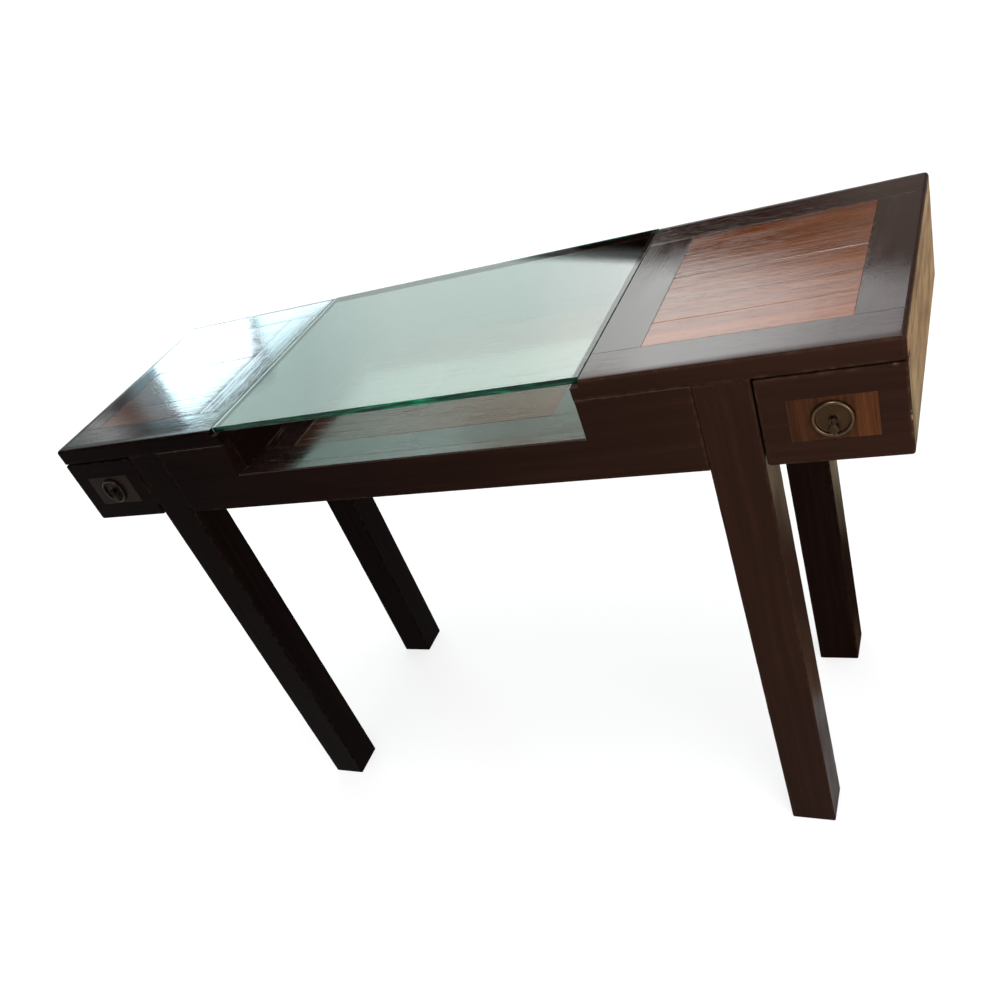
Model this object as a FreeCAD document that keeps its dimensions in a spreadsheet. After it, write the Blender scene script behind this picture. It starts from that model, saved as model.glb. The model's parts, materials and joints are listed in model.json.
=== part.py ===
# Display table: two inlaid end tops with a drawer under each, and between them a dropped deck under a
# loose sheet of glass, open at the front. Millimetres. X points right, Y to the back, Z up, and the
# origin is on the floor at the middle of the carcase.
import FreeCAD
import Part
import Sketcher
import math
import os

SIZES = {
    # Carcase
    "table_length": 1200,
    "table_depth": 390,
    "table_height": 762,
    "top_thick": 24,
    "apron_height": 107,
    "apron_thick": 18,
    "end_overhang": 145,
    "leg_size": 60,
    "leg_arris": 2.5,
    "foot_chamfer": 2,
    # Joinery
    "tenon_length": 25,
    "tenon_thick": 8,
    "tenon_shoulder": 14,
    "side_rail_thick": 18,
    "corner_block_setback": 4,
    "corner_block_height": 70,
    # Display recess and its deck
    "recess_length": 528,
    "recess_drop": 74,
    "recess_wall_thick": 18,
    "recess_arris": 2.5,
    "deck_thick": 18,
    "deck_rail_width": 43,
    "deck_stile_width": 62,
    "deck_front_plank": 84,
    "deck_middle_plank": 96,
    "bearer_width": 40,
    "bearer_thick": 22,
    # End tops
    "top_rail_width": 57,
    "top_inner_stile": 69,
    "top_outer_stile": 50,
    "top_front_plank": 52,
    "top_middle_plank": 110,
    "top_arris": 5,
    "plank_arris": 0.5,
    # Glass
    "glass_thick": 8,
    "glass_lip": 11,
    "glass_end_gap": 1,
    "glass_front_setback": 9,
    "glass_back_setback": 1,
    "glass_arris": 0.8,
    # Drawer bays
    "panel_thick": 18,
    "panel_arris": 2.5,
    "runner_width": 14,
    "runner_height": 12,
    "runner_lift": 3,
    # Drawers
    "drawer_front_thick": 18,
    "drawer_front_gap": 2,
    "drawer_top_gap": 2.5,
    "drawer_arris": 2.5,
    "drawer_corner": 3.5,
    "drawer_side_gap": 3,
    "drawer_side_drop": 5,
    "drawer_rear_gap": 24,
    "drawer_side_thick": 12,
    "drawer_back_thick": 12,
    "drawer_bottom_thick": 6,
    "drawer_bottom_lift": 6,
    "drawer_groove": 6,
    "drawer_housing": 7,
    "inlay_length": 86,
    "inlay_height": 50,
    "inlay_thick": 3,
    "inlay_end_strip": 22,
    # Drop pulls
    "plate_radius": 21,
    "plate_thick": 1.2,
    "rim_width": 3.4,
    "rim_height": 4,
    "rim_round": 1.5,
    "dish_round": 1.6,
    "post_radius": 2.5,
    "post_gap": 0.2,
    "thread_gap": 0.05,
    "post_tail": 2,
    "head_radius": 4,
    "head_length": 6.6,
    "head_round": 0.8,
    "slot_side_gap": 0.2,
    "slot_floor": 0.9,
    "slot_floor_gap": 0.4,
    "bar_radius": 1,
    "bar_reach": 3.8,
    "nut_flats": 8,
    "nut_thick": 4,
    "eye_radius": 2.4,
    "eye_thick": 2,
    "eye_gap": 0.05,
    "drop_root": 1.5,
    "drop_neck": 4.8,
    "drop_centre": 10.6,
    "drop_radius": 5.4,
    "drop_thick": 4.4,
    "drop_arris": 0.7,
}

RIGHT, LEFT = "right", "left"
FRONT, BACK = "front", "back"
LOW, HIGH = "low", "high"
NEAR = 1e-4

doc = FreeCAD.newDocument("DisplayTable")
sheet = doc.addObject("Spreadsheet::Sheet", "Sizes")
nodes = {}


class Size:
    """A sheet value, or a formula of sheet values: its text for bindings, and its number."""

    def __init__(self, text, number):
        self.text = text
        self.number = number

    def combine(self, sign, other, number):
        return Size(f"({self.text} {sign} {other.text})", number)

    def __add__(self, other):
        other = as_size(other)
        return self.combine("+", other, self.number + other.number)

    def __sub__(self, other):
        other = as_size(other)
        return self.combine("-", other, self.number - other.number)

    def __mul__(self, factor):
        factor = as_size(factor)
        return self.combine("*", factor, self.number * factor.number)

    def __truediv__(self, divisor):
        divisor = as_size(divisor)
        return self.combine("/", divisor, self.number / divisor.number)

    def __neg__(self):
        return Size(f"(-{self.text})", -self.number)


def as_size(amount):
    """A plain number stands for itself in a formula."""
    if isinstance(amount, Size):
        return amount
    return Size(str(amount), amount)


class Sheet:
    """The driving dimensions, as attributes with the sheet's aliases."""

    def __init__(self):
        for row, (alias, number) in enumerate(SIZES.items(), start=1):
            sheet.set(f"A{row}", alias)
            sheet.set(f"B{row}", str(number))
            sheet.setAlias(f"B{row}", alias)
            setattr(self, alias, Size(f"Sizes.{alias}", number))


def bind(thing, path, amount):
    """Tie one property of an object to the sheet."""
    thing.setExpression(path, as_size(amount).text)


def place(thing, corner, turned=False):
    """Put a piece's own origin at a corner; a turned piece goes half a turn about the table's middle."""
    x, y, z = [as_size(amount) for amount in corner]
    if turned:
        x, y = -x, -y
        thing.Placement.Rotation = FreeCAD.Rotation(FreeCAD.Vector(0, 0, 1), 180)
    for path, amount in (("x", x), ("y", y), ("z", z)):
        bind(thing, f"Placement.Base.{path}", amount)


def new_body(label):
    body = doc.addObject("PartDesign::Body", label)
    body.Label = label
    return body


def sketch_on(body, plane, start):
    """Sketch parallel to one of the body's own planes, moved to start along that plane's axis."""
    sketch = body.newObject("Sketcher::SketchObject", f"{body.Name}_sketch")
    support = [item for item in body.Origin.OriginFeatures if item.Role == plane][0]
    sketch.AttachmentSupport = (support, [""])
    sketch.MapMode = "FlatFace"
    start = as_size(start)
    bind(sketch, "AttachmentOffset.Base.z", -start if plane == "XZ_Plane" else start)
    return sketch


def pin_point(sketch, geometry, point, place_2d):
    """Dimension one sketch point from the sketch's origin."""
    for kind, amount, axis in zip(("DistanceX", "DistanceY"), place_2d, (-2, -1)):
        amount = as_size(amount)
        if amount.number == 0:
            sketch.addConstraint(Sketcher.Constraint("PointOnObject", geometry, point, axis))
        else:
            mark = Sketcher.Constraint(kind, -1, 1, geometry, point, amount.number)
            bind(sketch, f"Constraints[{sketch.addConstraint(mark)}]", amount)


def draw_outline(sketch, corners):
    """Closed outline of straight edges, each corner dimensioned."""
    points = [FreeCAD.Vector(as_size(x).number, as_size(y).number, 0) for x, y in corners]
    count = len(points)
    first = sketch.GeometryCount
    for index, point in enumerate(points):
        sketch.addGeometry(Part.LineSegment(point, points[(index + 1) % count]), False)
    for index in range(count):
        joint = Sketcher.Constraint("Coincident", first + index, 2, first + (index + 1) % count, 1)
        sketch.addConstraint(joint)
    for index, corner in enumerate(corners):
        pin_point(sketch, first + index, 1, corner)


def draw_circle(sketch, centre, radius):
    """Circle with its centre and radius dimensioned."""
    middle = FreeCAD.Vector(as_size(centre[0]).number, as_size(centre[1]).number, 0)
    circle = sketch.addGeometry(Part.Circle(middle, FreeCAD.Vector(0, 0, 1), radius.number), False)
    pin_point(sketch, circle, 3, centre)
    size = sketch.addConstraint(Sketcher.Constraint("Radius", circle, radius.number))
    bind(sketch, f"Constraints[{size}]", radius)


def rectangle(low, high):
    """Corners of a rectangle between two opposite corners."""
    return [low, (high[0], low[1]), high, (low[0], high[1])]


def pad(body, sketch, length, plane):
    """Extrude a sketch towards the positive side of its plane."""
    feature = body.newObject("PartDesign::Pad", f"{body.Name}_pad")
    feature.Profile = sketch
    feature.Reversed = plane == "XZ_Plane"
    bind(feature, "Length", length)
    return feature


def pad_outlines(body, plane, outlines, length, start=0):
    sketch = sketch_on(body, plane, start)
    for corners in outlines:
        draw_outline(sketch, corners)
    return pad(body, sketch, length, plane)


def pad_circle(body, plane, centre, radius, length, start=0):
    sketch = sketch_on(body, plane, start)
    draw_circle(sketch, centre, radius)
    return pad(body, sketch, length, plane)


def pocket(body, sketch, length, plane):
    """Cut a sketch towards the positive side of its plane, and see that it removes wood or metal."""
    doc.recompute()
    before = body.Shape.Volume
    feature = body.newObject("PartDesign::Pocket", f"{body.Name}_pocket")
    feature.Profile = sketch
    feature.Reversed = plane != "XZ_Plane"
    bind(feature, "Length", length)
    doc.recompute()
    if body.Shape.Volume > before - NEAR:
        raise RuntimeError(f"{body.Label}: a pocket cuts nothing")
    return feature


def pocket_outlines(body, plane, outlines, length, start=0):
    sketch = sketch_on(body, plane, start)
    for corners in outlines:
        draw_outline(sketch, corners)
    return pocket(body, sketch, length, plane)


def pocket_circle(body, plane, centre, radius, length, start=0):
    sketch = sketch_on(body, plane, start)
    draw_circle(sketch, centre, radius)
    return pocket(body, sketch, length, plane)


def on_side(box, whole, axis, side):
    """Whether an edge's box lies in one side of the whole shape's box."""
    end = "Min" if side == LOW else "Max"
    face = getattr(whole, f"{axis}{end}")
    low, high = getattr(box, f"{axis}Min"), getattr(box, f"{axis}Max")
    return abs(low - face) < NEAR and abs(high - face) < NEAR


def edges_on(body, *places):
    """Names of the edges that lie in every side of a place, such as {"Y": LOW, "Z": HIGH}."""
    doc.recompute()
    whole = body.Tip.Shape.BoundBox
    names = []
    for index, edge in enumerate(body.Tip.Shape.Edges, start=1):
        box = edge.BoundBox
        if any(all(on_side(box, whole, axis, side) for axis, side in spot.items()) for spot in places):
            names.append(f"Edge{index}")
    return names


def edges_where(body, test):
    """Names of the edges whose box passes a test."""
    doc.recompute()
    edges = enumerate(body.Tip.Shape.Edges, start=1)
    return [f"Edge{index}" for index, edge in edges if test(edge.BoundBox)]


def soften(body, kind, names, amount):
    """Fillet or chamfer the named edges of a body."""
    base = body.Tip
    feature = body.newObject(f"PartDesign::{kind}", f"{body.Name}_{kind}")
    feature.Base = (base, names)
    bind(feature, "Radius" if kind == "Fillet" else "Size", amount)
    return feature


def board(label, corner, span):
    """Square-edged board from its low corner and its three sides."""
    body = new_body(label)
    width, depth, height = span
    pad_outlines(body, "XY_Plane", [rectangle((0, 0), (width, depth))], height)
    place(body, corner)
    return body


def keep(body):
    """File a finished piece under its label."""
    nodes[body.Label] = body
    return body


def group(label, bodies):
    """One node of several separate solids."""
    compound = doc.addObject("Part::Compound", label)
    compound.Label = label
    compound.Links = bodies
    return keep(compound)


def across(side, near, far):
    """Low X of a piece that reaches from near to far, both measured out from the middle."""
    return near if side == RIGHT else -far


def outward(side, distance, span):
    """Local X at a distance from the inner end of a piece, on either side of the table."""
    return as_size(distance) if side == RIGHT else span - distance


def inward(end, distance, span):
    """Local Y at a distance from the outer face of a piece, at the front or the back."""
    return as_size(distance) if end == FRONT else span - distance


s = Sheet()
doc.recompute()

half_length = s.table_length / 2
half_depth = s.table_depth / 2
under_top = s.table_height - s.top_thick
base_z = under_top - s.apron_height
leg_outer = half_length - s.end_overhang
leg_inner = leg_outer - s.leg_size
recess_half = s.recess_length / 2
rebate_half = recess_half + s.glass_lip
glass_base = s.table_height - s.glass_thick
deck_top = s.table_height - s.recess_drop
deck_base = deck_top - s.deck_thick
apron_length = leg_inner * 2
inner_front = s.apron_thick - half_depth
inner_depth = s.table_depth - s.apron_thick * 2
tenon_height = s.apron_height - s.tenon_shoulder * 2
bay_outer = half_length - s.panel_thick


def make_leg(side, end):
    """Square leg up to the underside of the top, mortised for an apron and a side rail."""
    y_low = -half_depth if end == FRONT else half_depth - s.leg_size
    leg = board(f"leg_{end}_{side}", (across(side, leg_inner, leg_outer), y_low, 0),
                (s.leg_size, s.leg_size, under_top))
    uprights = [{"X": x, "Y": y} for x in (LOW, HIGH) for y in (LOW, HIGH)]
    soften(leg, "Fillet", edges_on(leg, *uprights), s.leg_arris)
    soften(leg, "Chamfer", edges_on(leg, {"Z": LOW}), s.foot_chamfer)
    apron_cheek = (s.apron_thick - s.tenon_thick) / 2
    rail_cheek = s.leg_size - (s.side_rail_thick + s.tenon_thick) / 2
    apron_mortise = rectangle(
        (outward(side, 0, s.leg_size), inward(end, apron_cheek, s.leg_size)),
        (outward(side, s.tenon_length, s.leg_size), inward(end, apron_cheek + s.tenon_thick, s.leg_size)))
    rail_mortise = rectangle(
        (outward(side, rail_cheek, s.leg_size), inward(end, s.leg_size - s.tenon_length, s.leg_size)),
        (outward(side, rail_cheek + s.tenon_thick, s.leg_size), inward(end, s.leg_size, s.leg_size)))
    pocket_outlines(leg, "XY_Plane", [apron_mortise, rail_mortise], tenon_height, base_z + s.tenon_shoulder)
    return keep(leg)


def make_apron(label, y_low, middle_top):
    """Apron between two legs, with its top edge at another height over the recess, and a tenon each end."""
    body = new_body(label)
    cut_low, cut_high = leg_inner - recess_half, leg_inner + recess_half
    step = middle_top - base_z
    pad_outlines(body, "XZ_Plane", [[
        (0, 0), (apron_length, 0), (apron_length, s.apron_height), (cut_high, s.apron_height),
        (cut_high, step), (cut_low, step), (cut_low, s.apron_height), (0, s.apron_height)]], s.apron_thick)
    place(body, (-leg_inner, y_low, base_z))
    return body


def add_tenons(body):
    """Tenons on both ends of an apron."""
    low, high = s.tenon_shoulder, s.apron_height - s.tenon_shoulder
    ends = [rectangle((-s.tenon_length, low), (0, high)),
            rectangle((apron_length, low), (apron_length + s.tenon_length, high))]
    pad_outlines(body, "XZ_Plane", ends, s.tenon_thick, (s.apron_thick - s.tenon_thick) / 2)
    return keep(body)


def make_aprons():
    """Front apron with the recess cut out of it, and back apron raised to carry the glass."""
    front = make_apron("front_apron", -half_depth, deck_top)
    floor = (deck_top - base_z).number
    cut_low, cut_high = (leg_inner - recess_half).number, (leg_inner + recess_half).number
    mouth = edges_where(front, lambda box: box.YMax < NEAR and box.ZMin > floor - NEAR
                        and box.XMin > cut_low - NEAR and box.XMax < cut_high + NEAR)
    soften(front, "Fillet", mouth, s.recess_arris)
    add_tenons(front)
    add_tenons(make_apron("back_apron", half_depth - s.apron_thick, glass_base))


def make_side_rail(side):
    """Rail between a front and a back leg, flush with their outer faces."""
    depth = s.table_depth - s.leg_size * 2
    body = board(f"side_rail_{side}",
                 (across(side, leg_outer - s.side_rail_thick, leg_outer), s.leg_size - half_depth, base_z),
                 (s.side_rail_thick, depth, s.apron_height))
    low, high = s.tenon_shoulder, s.apron_height - s.tenon_shoulder
    ends = [rectangle((-s.tenon_length, low), (0, high)),
            rectangle((depth, low), (depth + s.tenon_length, high))]
    pad_outlines(body, "YZ_Plane", ends, s.tenon_thick, (s.side_rail_thick - s.tenon_thick) / 2)
    return keep(body)


def make_corner_blocks():
    """Three-cornered glue blocks where each leg meets the inside of a side rail."""
    blocks = []
    width = s.leg_size - s.side_rail_thick - s.corner_block_setback
    rail_inner = leg_outer - s.side_rail_thick
    leg_face = half_depth - s.leg_size
    for side in (LEFT, RIGHT):
        for end in (FRONT, BACK):
            block = new_body(f"corner_block_{end}_{side}")
            x_rail = outward(side, width, width)
            x_tip = outward(side, 0, width)
            y_leg = inward(end, 0, width)
            y_tip = inward(end, width, width)
            pad_outlines(block, "XY_Plane", [[(x_rail, y_leg), (x_tip, y_leg), (x_rail, y_tip)]],
                         s.corner_block_height)
            y_low = -leg_face if end == FRONT else leg_face - width
            place(block, (across(side, rail_inner - width, rail_inner), y_low,
                          under_top - s.corner_block_height))
            blocks.append(block)
    return group("corner_blocks", blocks)


def make_recess_wall(side):
    """Side wall of the display recess, between the aprons."""
    far = recess_half + s.recess_wall_thick
    return keep(board(f"recess_wall_{side}", (across(side, recess_half, far), inner_front, base_z),
                      (s.recess_wall_thick, inner_depth, s.apron_height)))


def make_planks(label, corner, length, widths, thick, turned=False):
    """Planks side by side along Y, with a fine chamfer round each face so that the seams show."""
    x, y, z = corner
    planks = []
    for index, width in enumerate(widths):
        plank = board(f"{label}_{index + 1}", (x, y, z), (length, width, thick))
        soften(plank, "Chamfer", edges_on(plank, {"Z": HIGH}), s.plank_arris)
        place(plank, (x, y, z), turned)
        planks.append(plank)
        y = y + width
    return group(label, planks)


def make_deck():
    """Framed deck of the recess on two bearers: border rails and stiles round three planks."""
    stile_depth = inner_depth - s.deck_rail_width * 2
    field_length = s.recess_length - s.deck_stile_width * 2
    rail_span = (s.recess_length, s.deck_rail_width, s.deck_thick)
    stile_span = (s.deck_stile_width, stile_depth, s.deck_thick)
    field_front = inner_front + s.deck_rail_width
    field_half = field_length / 2
    keep(board("deck_front_rail", (-recess_half, inner_front, deck_base), rail_span))
    keep(board("deck_back_rail", (-recess_half, -field_front, deck_base), rail_span))
    for side in (LEFT, RIGHT):
        keep(board(f"deck_{side}_stile", (across(side, field_half, recess_half), field_front, deck_base),
                   stile_span))
    last = stile_depth - s.deck_front_plank - s.deck_middle_plank
    make_planks("deck_planks", (-field_half, field_front, deck_base), field_length,
                (s.deck_front_plank, s.deck_middle_plank, last), s.deck_thick)
    bearers = []
    for side in (LEFT, RIGHT):
        near = field_half - s.bearer_width / 2
        bearers.append(board(f"deck_bearer_{side}",
                             (across(side, near, near + s.bearer_width), inner_front,
                              deck_base - s.bearer_thick),
                             (s.bearer_width, inner_depth, s.bearer_thick)))
    group("deck_bearers", bearers)


def rebated(body, length, depth):
    """Top member whose inner end is cut down to a lip that carries the glass."""
    ledge = s.top_thick - s.glass_thick
    pad_outlines(body, "XZ_Plane", [[
        (0, 0), (length, 0), (length, s.top_thick), (s.glass_lip, s.top_thick),
        (s.glass_lip, ledge), (0, ledge)]], depth)


def make_end_top(side):
    """Framed end top: rails run through, stiles butt between them, planks fill the field."""
    turned = side == LEFT
    length = half_length - recess_half
    stile_depth = s.table_depth - s.top_rail_width * 2
    field_front = s.top_rail_width - half_depth
    for end in (FRONT, BACK):
        local_front = (end == FRONT) != turned
        rail = new_body(f"{side}_top_{end}_rail")
        rebated(rail, length, s.top_rail_width)
        face = LOW if local_front else HIGH
        rounds = ({"Y": face, "Z": HIGH}, {"X": HIGH, "Z": HIGH}, {"X": HIGH, "Y": face})
        soften(rail, "Fillet", edges_on(rail, *rounds), s.top_arris)
        place(rail, (recess_half, -half_depth if local_front else -field_front, under_top), turned)
        keep(rail)
    inner = new_body(f"{side}_top_inner_stile")
    rebated(inner, s.top_inner_stile, stile_depth)
    place(inner, (recess_half, field_front, under_top), turned)
    keep(inner)
    outer_low = half_length - s.top_outer_stile
    outer = board(f"{side}_top_outer_stile", (outer_low, field_front, under_top),
                  (s.top_outer_stile, stile_depth, s.top_thick))
    soften(outer, "Fillet", edges_on(outer, {"X": HIGH, "Z": HIGH}), s.top_arris)
    place(outer, (outer_low, field_front, under_top), turned)
    keep(outer)
    widths = [s.top_front_plank, s.top_middle_plank,
              stile_depth - s.top_front_plank - s.top_middle_plank]
    if turned:
        widths.reverse()
    field_low = recess_half + s.top_inner_stile
    make_planks(f"{side}_top_planks", (field_low, field_front, under_top),
                length - s.top_inner_stile - s.top_outer_stile, widths, s.top_thick, turned)


def make_glass():
    """Loose glass sheet, flush with the end tops, with ground arrises."""
    half = rebate_half - s.glass_end_gap
    depth = s.table_depth - s.glass_front_setback - s.glass_back_setback
    glass = board("glass_top", (-half, s.glass_front_setback - half_depth, glass_base),
                  (half * 2, depth, s.glass_thick))
    soften(glass, "Chamfer", edges_on(glass, {"Z": LOW}, {"Z": HIGH}), s.glass_arris)
    return keep(glass)


def make_drawer_bay(side):
    """End panel, back panel and the two runners that carry a drawer."""
    panel = board(f"end_panel_{side}", (across(side, bay_outer, half_length), inner_front, base_z),
                  (s.panel_thick, s.table_depth - s.drawer_front_thick, s.apron_height))
    outside = HIGH if side == RIGHT else LOW
    soften(panel, "Fillet", edges_on(panel, {"X": outside, "Z": LOW}, {"X": outside, "Y": HIGH}),
           s.panel_arris)
    keep(panel)
    keep(board(f"case_back_{side}", (across(side, leg_outer, bay_outer), half_depth - s.panel_thick, base_z),
               (bay_outer - leg_outer, s.panel_thick, s.apron_height)))
    length = s.table_depth - s.drawer_front_thick - s.panel_thick
    runners = []
    for name, near, far in (("inner", leg_outer, leg_outer + s.runner_width),
                            ("outer", bay_outer - s.runner_width, bay_outer)):
        runners.append(board(f"runner_{name}_{side}",
                             (across(side, near, far), s.drawer_front_thick - half_depth,
                              base_z + s.runner_lift),
                             (s.runner_width, length, s.runner_height)))
    group(f"drawer_runners_{side}", runners)


front_near = leg_outer + s.drawer_front_gap
front_span = half_length - front_near
front_height = s.apron_height - s.drawer_top_gap
box_near = leg_outer + s.drawer_side_gap
box_far = bay_outer - s.drawer_side_gap
side_base = base_z + s.runner_lift + s.runner_height
side_height = under_top - s.drawer_side_drop - side_base
behind_front = s.drawer_front_thick - half_depth
box_back = half_depth - s.panel_thick - s.drawer_rear_gap
pull_x = (front_near + half_length) / 2
pull_z = base_z + front_height / 2


def make_drawer_front(side):
    """Drawer front that laps the end panel, recessed for the inlay and housed for the drawer sides."""
    front = board(f"drawer_front_{side}", (across(side, front_near, half_length), -half_depth, base_z),
                  (front_span, s.drawer_front_thick, front_height))
    corners = [{"X": x, "Z": z} for x in (LOW, HIGH) for z in (LOW, HIGH)]
    soften(front, "Fillet", edges_on(front, *corners), s.drawer_corner)
    soften(front, "Fillet", edges_on(front, {"Y": LOW}), s.drawer_arris)
    middle = (front_span / 2, front_height / 2)
    half_inlay = (s.inlay_length / 2, s.inlay_height / 2)
    seat = rectangle((middle[0] - half_inlay[0], middle[1] - half_inlay[1]),
                     (middle[0] + half_inlay[0], middle[1] + half_inlay[1]))
    pocket_outlines(front, "XZ_Plane", [seat], s.inlay_thick)
    pocket_circle(front, "XZ_Plane", middle, s.post_radius + s.post_gap, s.drawer_front_thick)
    low = side_base - base_z
    housings = []
    for near in (box_near, box_far - s.drawer_side_thick):
        start = near - front_near
        housings.append(rectangle(
            (outward(side, start, front_span), low),
            (outward(side, start + s.drawer_side_thick, front_span), low + side_height)))
    pocket_outlines(front, "XZ_Plane", housings, s.drawer_housing, s.drawer_front_thick - s.drawer_housing)
    return keep(front)


def make_inlay(side):
    """Upright strips let into the drawer front, the middle one bored for the pull's post."""
    middle_width = s.inlay_length - s.inlay_end_strip * 2
    x = across(side, pull_x, pull_x) - s.inlay_length / 2
    strips = []
    for index, width in enumerate((s.inlay_end_strip, middle_width, s.inlay_end_strip)):
        strip = board(f"inlay_strip_{side}_{index + 1}", (x, -half_depth, pull_z - s.inlay_height / 2),
                      (width, s.inlay_thick, s.inlay_height))
        if index == 1:
            pocket_circle(strip, "XZ_Plane", (width / 2, s.inlay_height / 2), s.post_radius + s.post_gap,
                          s.inlay_thick)
        strips.append(strip)
        x = x + width
    return group(f"drawer_inlay_{side}", strips)


def make_drawer_side(name, side, near, groove_right):
    """Drawer side with a groove for the bottom, its front end let into the drawer front."""
    body = new_body(f"drawer_{name}_side_{side}")
    thick = s.drawer_side_thick
    low, high = s.drawer_bottom_lift, s.drawer_bottom_lift + s.drawer_bottom_thick
    profile = [(0, 0), (thick, 0), (thick, low), (thick - s.drawer_groove, low),
               (thick - s.drawer_groove, high), (thick, high), (thick, side_height), (0, side_height)]
    if not groove_right:
        profile = [(thick - x, z) for x, z in profile]
    start = behind_front - s.drawer_housing
    pad_outlines(body, "XZ_Plane", [profile], box_back - start)
    place(body, (across(side, near, near + thick), start, side_base))
    return keep(body)


def make_drawer(side):
    """Drawer: front, inlay, two grooved sides, back and bottom."""
    make_drawer_front(side)
    make_inlay(side)
    make_drawer_side("inner", side, box_near, side == RIGHT)
    make_drawer_side("outer", side, box_far - s.drawer_side_thick, side == LEFT)
    inside_near, inside_far = box_near + s.drawer_side_thick, box_far - s.drawer_side_thick
    bottom_z = side_base + s.drawer_bottom_lift
    back_z = bottom_z + s.drawer_bottom_thick
    keep(board(f"drawer_back_{side}",
               (across(side, inside_near, inside_far), box_back - s.drawer_back_thick, back_z),
               (inside_far - inside_near, s.drawer_back_thick, side_base + side_height - back_z)))
    near, far = inside_near - s.drawer_groove, inside_far + s.drawer_groove
    keep(board(f"drawer_bottom_{side}", (across(side, near, far), behind_front, bottom_z),
               (far - near, box_back - behind_front, s.drawer_bottom_thick)))


head_top = s.plate_thick + s.head_length
pivot = s.plate_thick + s.slot_floor + s.slot_floor_gap + s.eye_radius


def face_forward(body, side):
    """Stand a pull piece, built along its own Z, on the drawer front, facing the front."""
    body.Placement.Rotation = FreeCAD.Rotation(FreeCAD.Vector(1, 0, 0), 90)
    for path, amount in (("x", across(side, pull_x, pull_x)), ("y", -half_depth), ("z", pull_z)):
        bind(body, f"Placement.Base.{path}", amount)


def make_pull_plate(side):
    """Round dished plate, turned about its axis, with a bead rim."""
    plate = new_body(f"pull_plate_{side}")
    bore = s.post_radius + s.post_gap
    dish = s.plate_radius - s.rim_width
    sketch = sketch_on(plate, "XZ_Plane", 0)
    draw_outline(sketch, [(bore, 0), (s.plate_radius, 0), (s.plate_radius, s.rim_height),
                          (dish, s.rim_height), (dish, s.plate_thick), (bore, s.plate_thick)])
    turn = plate.newObject("PartDesign::Revolution", f"{plate.Name}_turn")
    turn.Profile = sketch
    turn.ReferenceAxis = (sketch, ["V_Axis"])
    turn.Angle = 360
    rim = edges_where(plate, lambda box: box.ZMin > s.rim_height.number - NEAR)
    soften(plate, "Fillet", rim, s.rim_round)
    foot = edges_where(plate, lambda box: abs(box.ZMin - s.plate_thick.number) < NEAR
                       and box.ZLength < NEAR and abs(box.XMax - dish.number) < NEAR)
    soften(plate, "Fillet", foot, s.dish_round)
    face_forward(plate, side)
    return keep(plate)


def make_pull_post(side):
    """Threaded post through plate and front; its forked head holds a cross bar."""
    post = new_body(f"pull_post_{side}")
    tail = s.drawer_front_thick + s.nut_thick + s.post_tail
    pad_circle(post, "XY_Plane", (0, 0), s.post_radius, tail + s.plate_thick, -tail)
    pad_circle(post, "XY_Plane", (0, 0), s.head_radius, s.head_length, s.plate_thick)
    crown = edges_on(post, {"Z": HIGH})
    soften(post, "Fillet", crown, s.head_round)
    half_slot = s.eye_thick / 2 + s.slot_side_gap
    slot = rectangle((-half_slot, s.plate_thick + s.slot_floor), (half_slot, head_top))
    pocket_outlines(post, "XZ_Plane", [slot], s.head_radius * 2, -s.head_radius)
    pad_circle(post, "YZ_Plane", (0, pivot), s.bar_radius, s.bar_reach * 2, -s.bar_reach)
    face_forward(post, side)
    return keep(post)


def make_pull_nut(side):
    """Six-sided nut on the post, against the back of the drawer front."""
    nut = new_body(f"pull_nut_{side}")
    flat = s.nut_flats / 2
    corner = flat / math.cos(math.pi / 6)
    rise = flat * math.tan(math.pi / 6)
    hexagon = [(0, -corner), (flat, -rise), (flat, rise), (0, corner), (-flat, rise), (-flat, -rise)]
    low = -s.drawer_front_thick - s.nut_thick
    pad_outlines(nut, "XY_Plane", [hexagon], s.nut_thick, low)
    pocket_circle(nut, "XY_Plane", (0, 0), s.post_radius + s.thread_gap, s.nut_thick, low)
    face_forward(nut, side)
    return keep(nut)


def make_pull_drop(side):
    """Flattened teardrop that hangs by an eye from the post's cross bar."""
    drop = new_body(f"pull_drop_{side}")
    sketch = sketch_on(drop, "XZ_Plane", -s.drop_thick / 2)
    draw_teardrop(sketch)
    pad(drop, sketch, s.drop_thick, "XZ_Plane")
    soften(drop, "Fillet", edges_on(drop, {"Y": LOW}, {"Y": HIGH}), s.drop_arris)
    pad_circle(drop, "YZ_Plane", (0, 0), s.eye_radius, s.eye_thick, -s.eye_thick / 2)
    pocket_circle(drop, "YZ_Plane", (0, 0), s.bar_radius + s.eye_gap, s.eye_thick, -s.eye_thick / 2)
    place(drop, (across(side, pull_x, pull_x), -half_depth - pivot, pull_z))
    return keep(drop)


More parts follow.
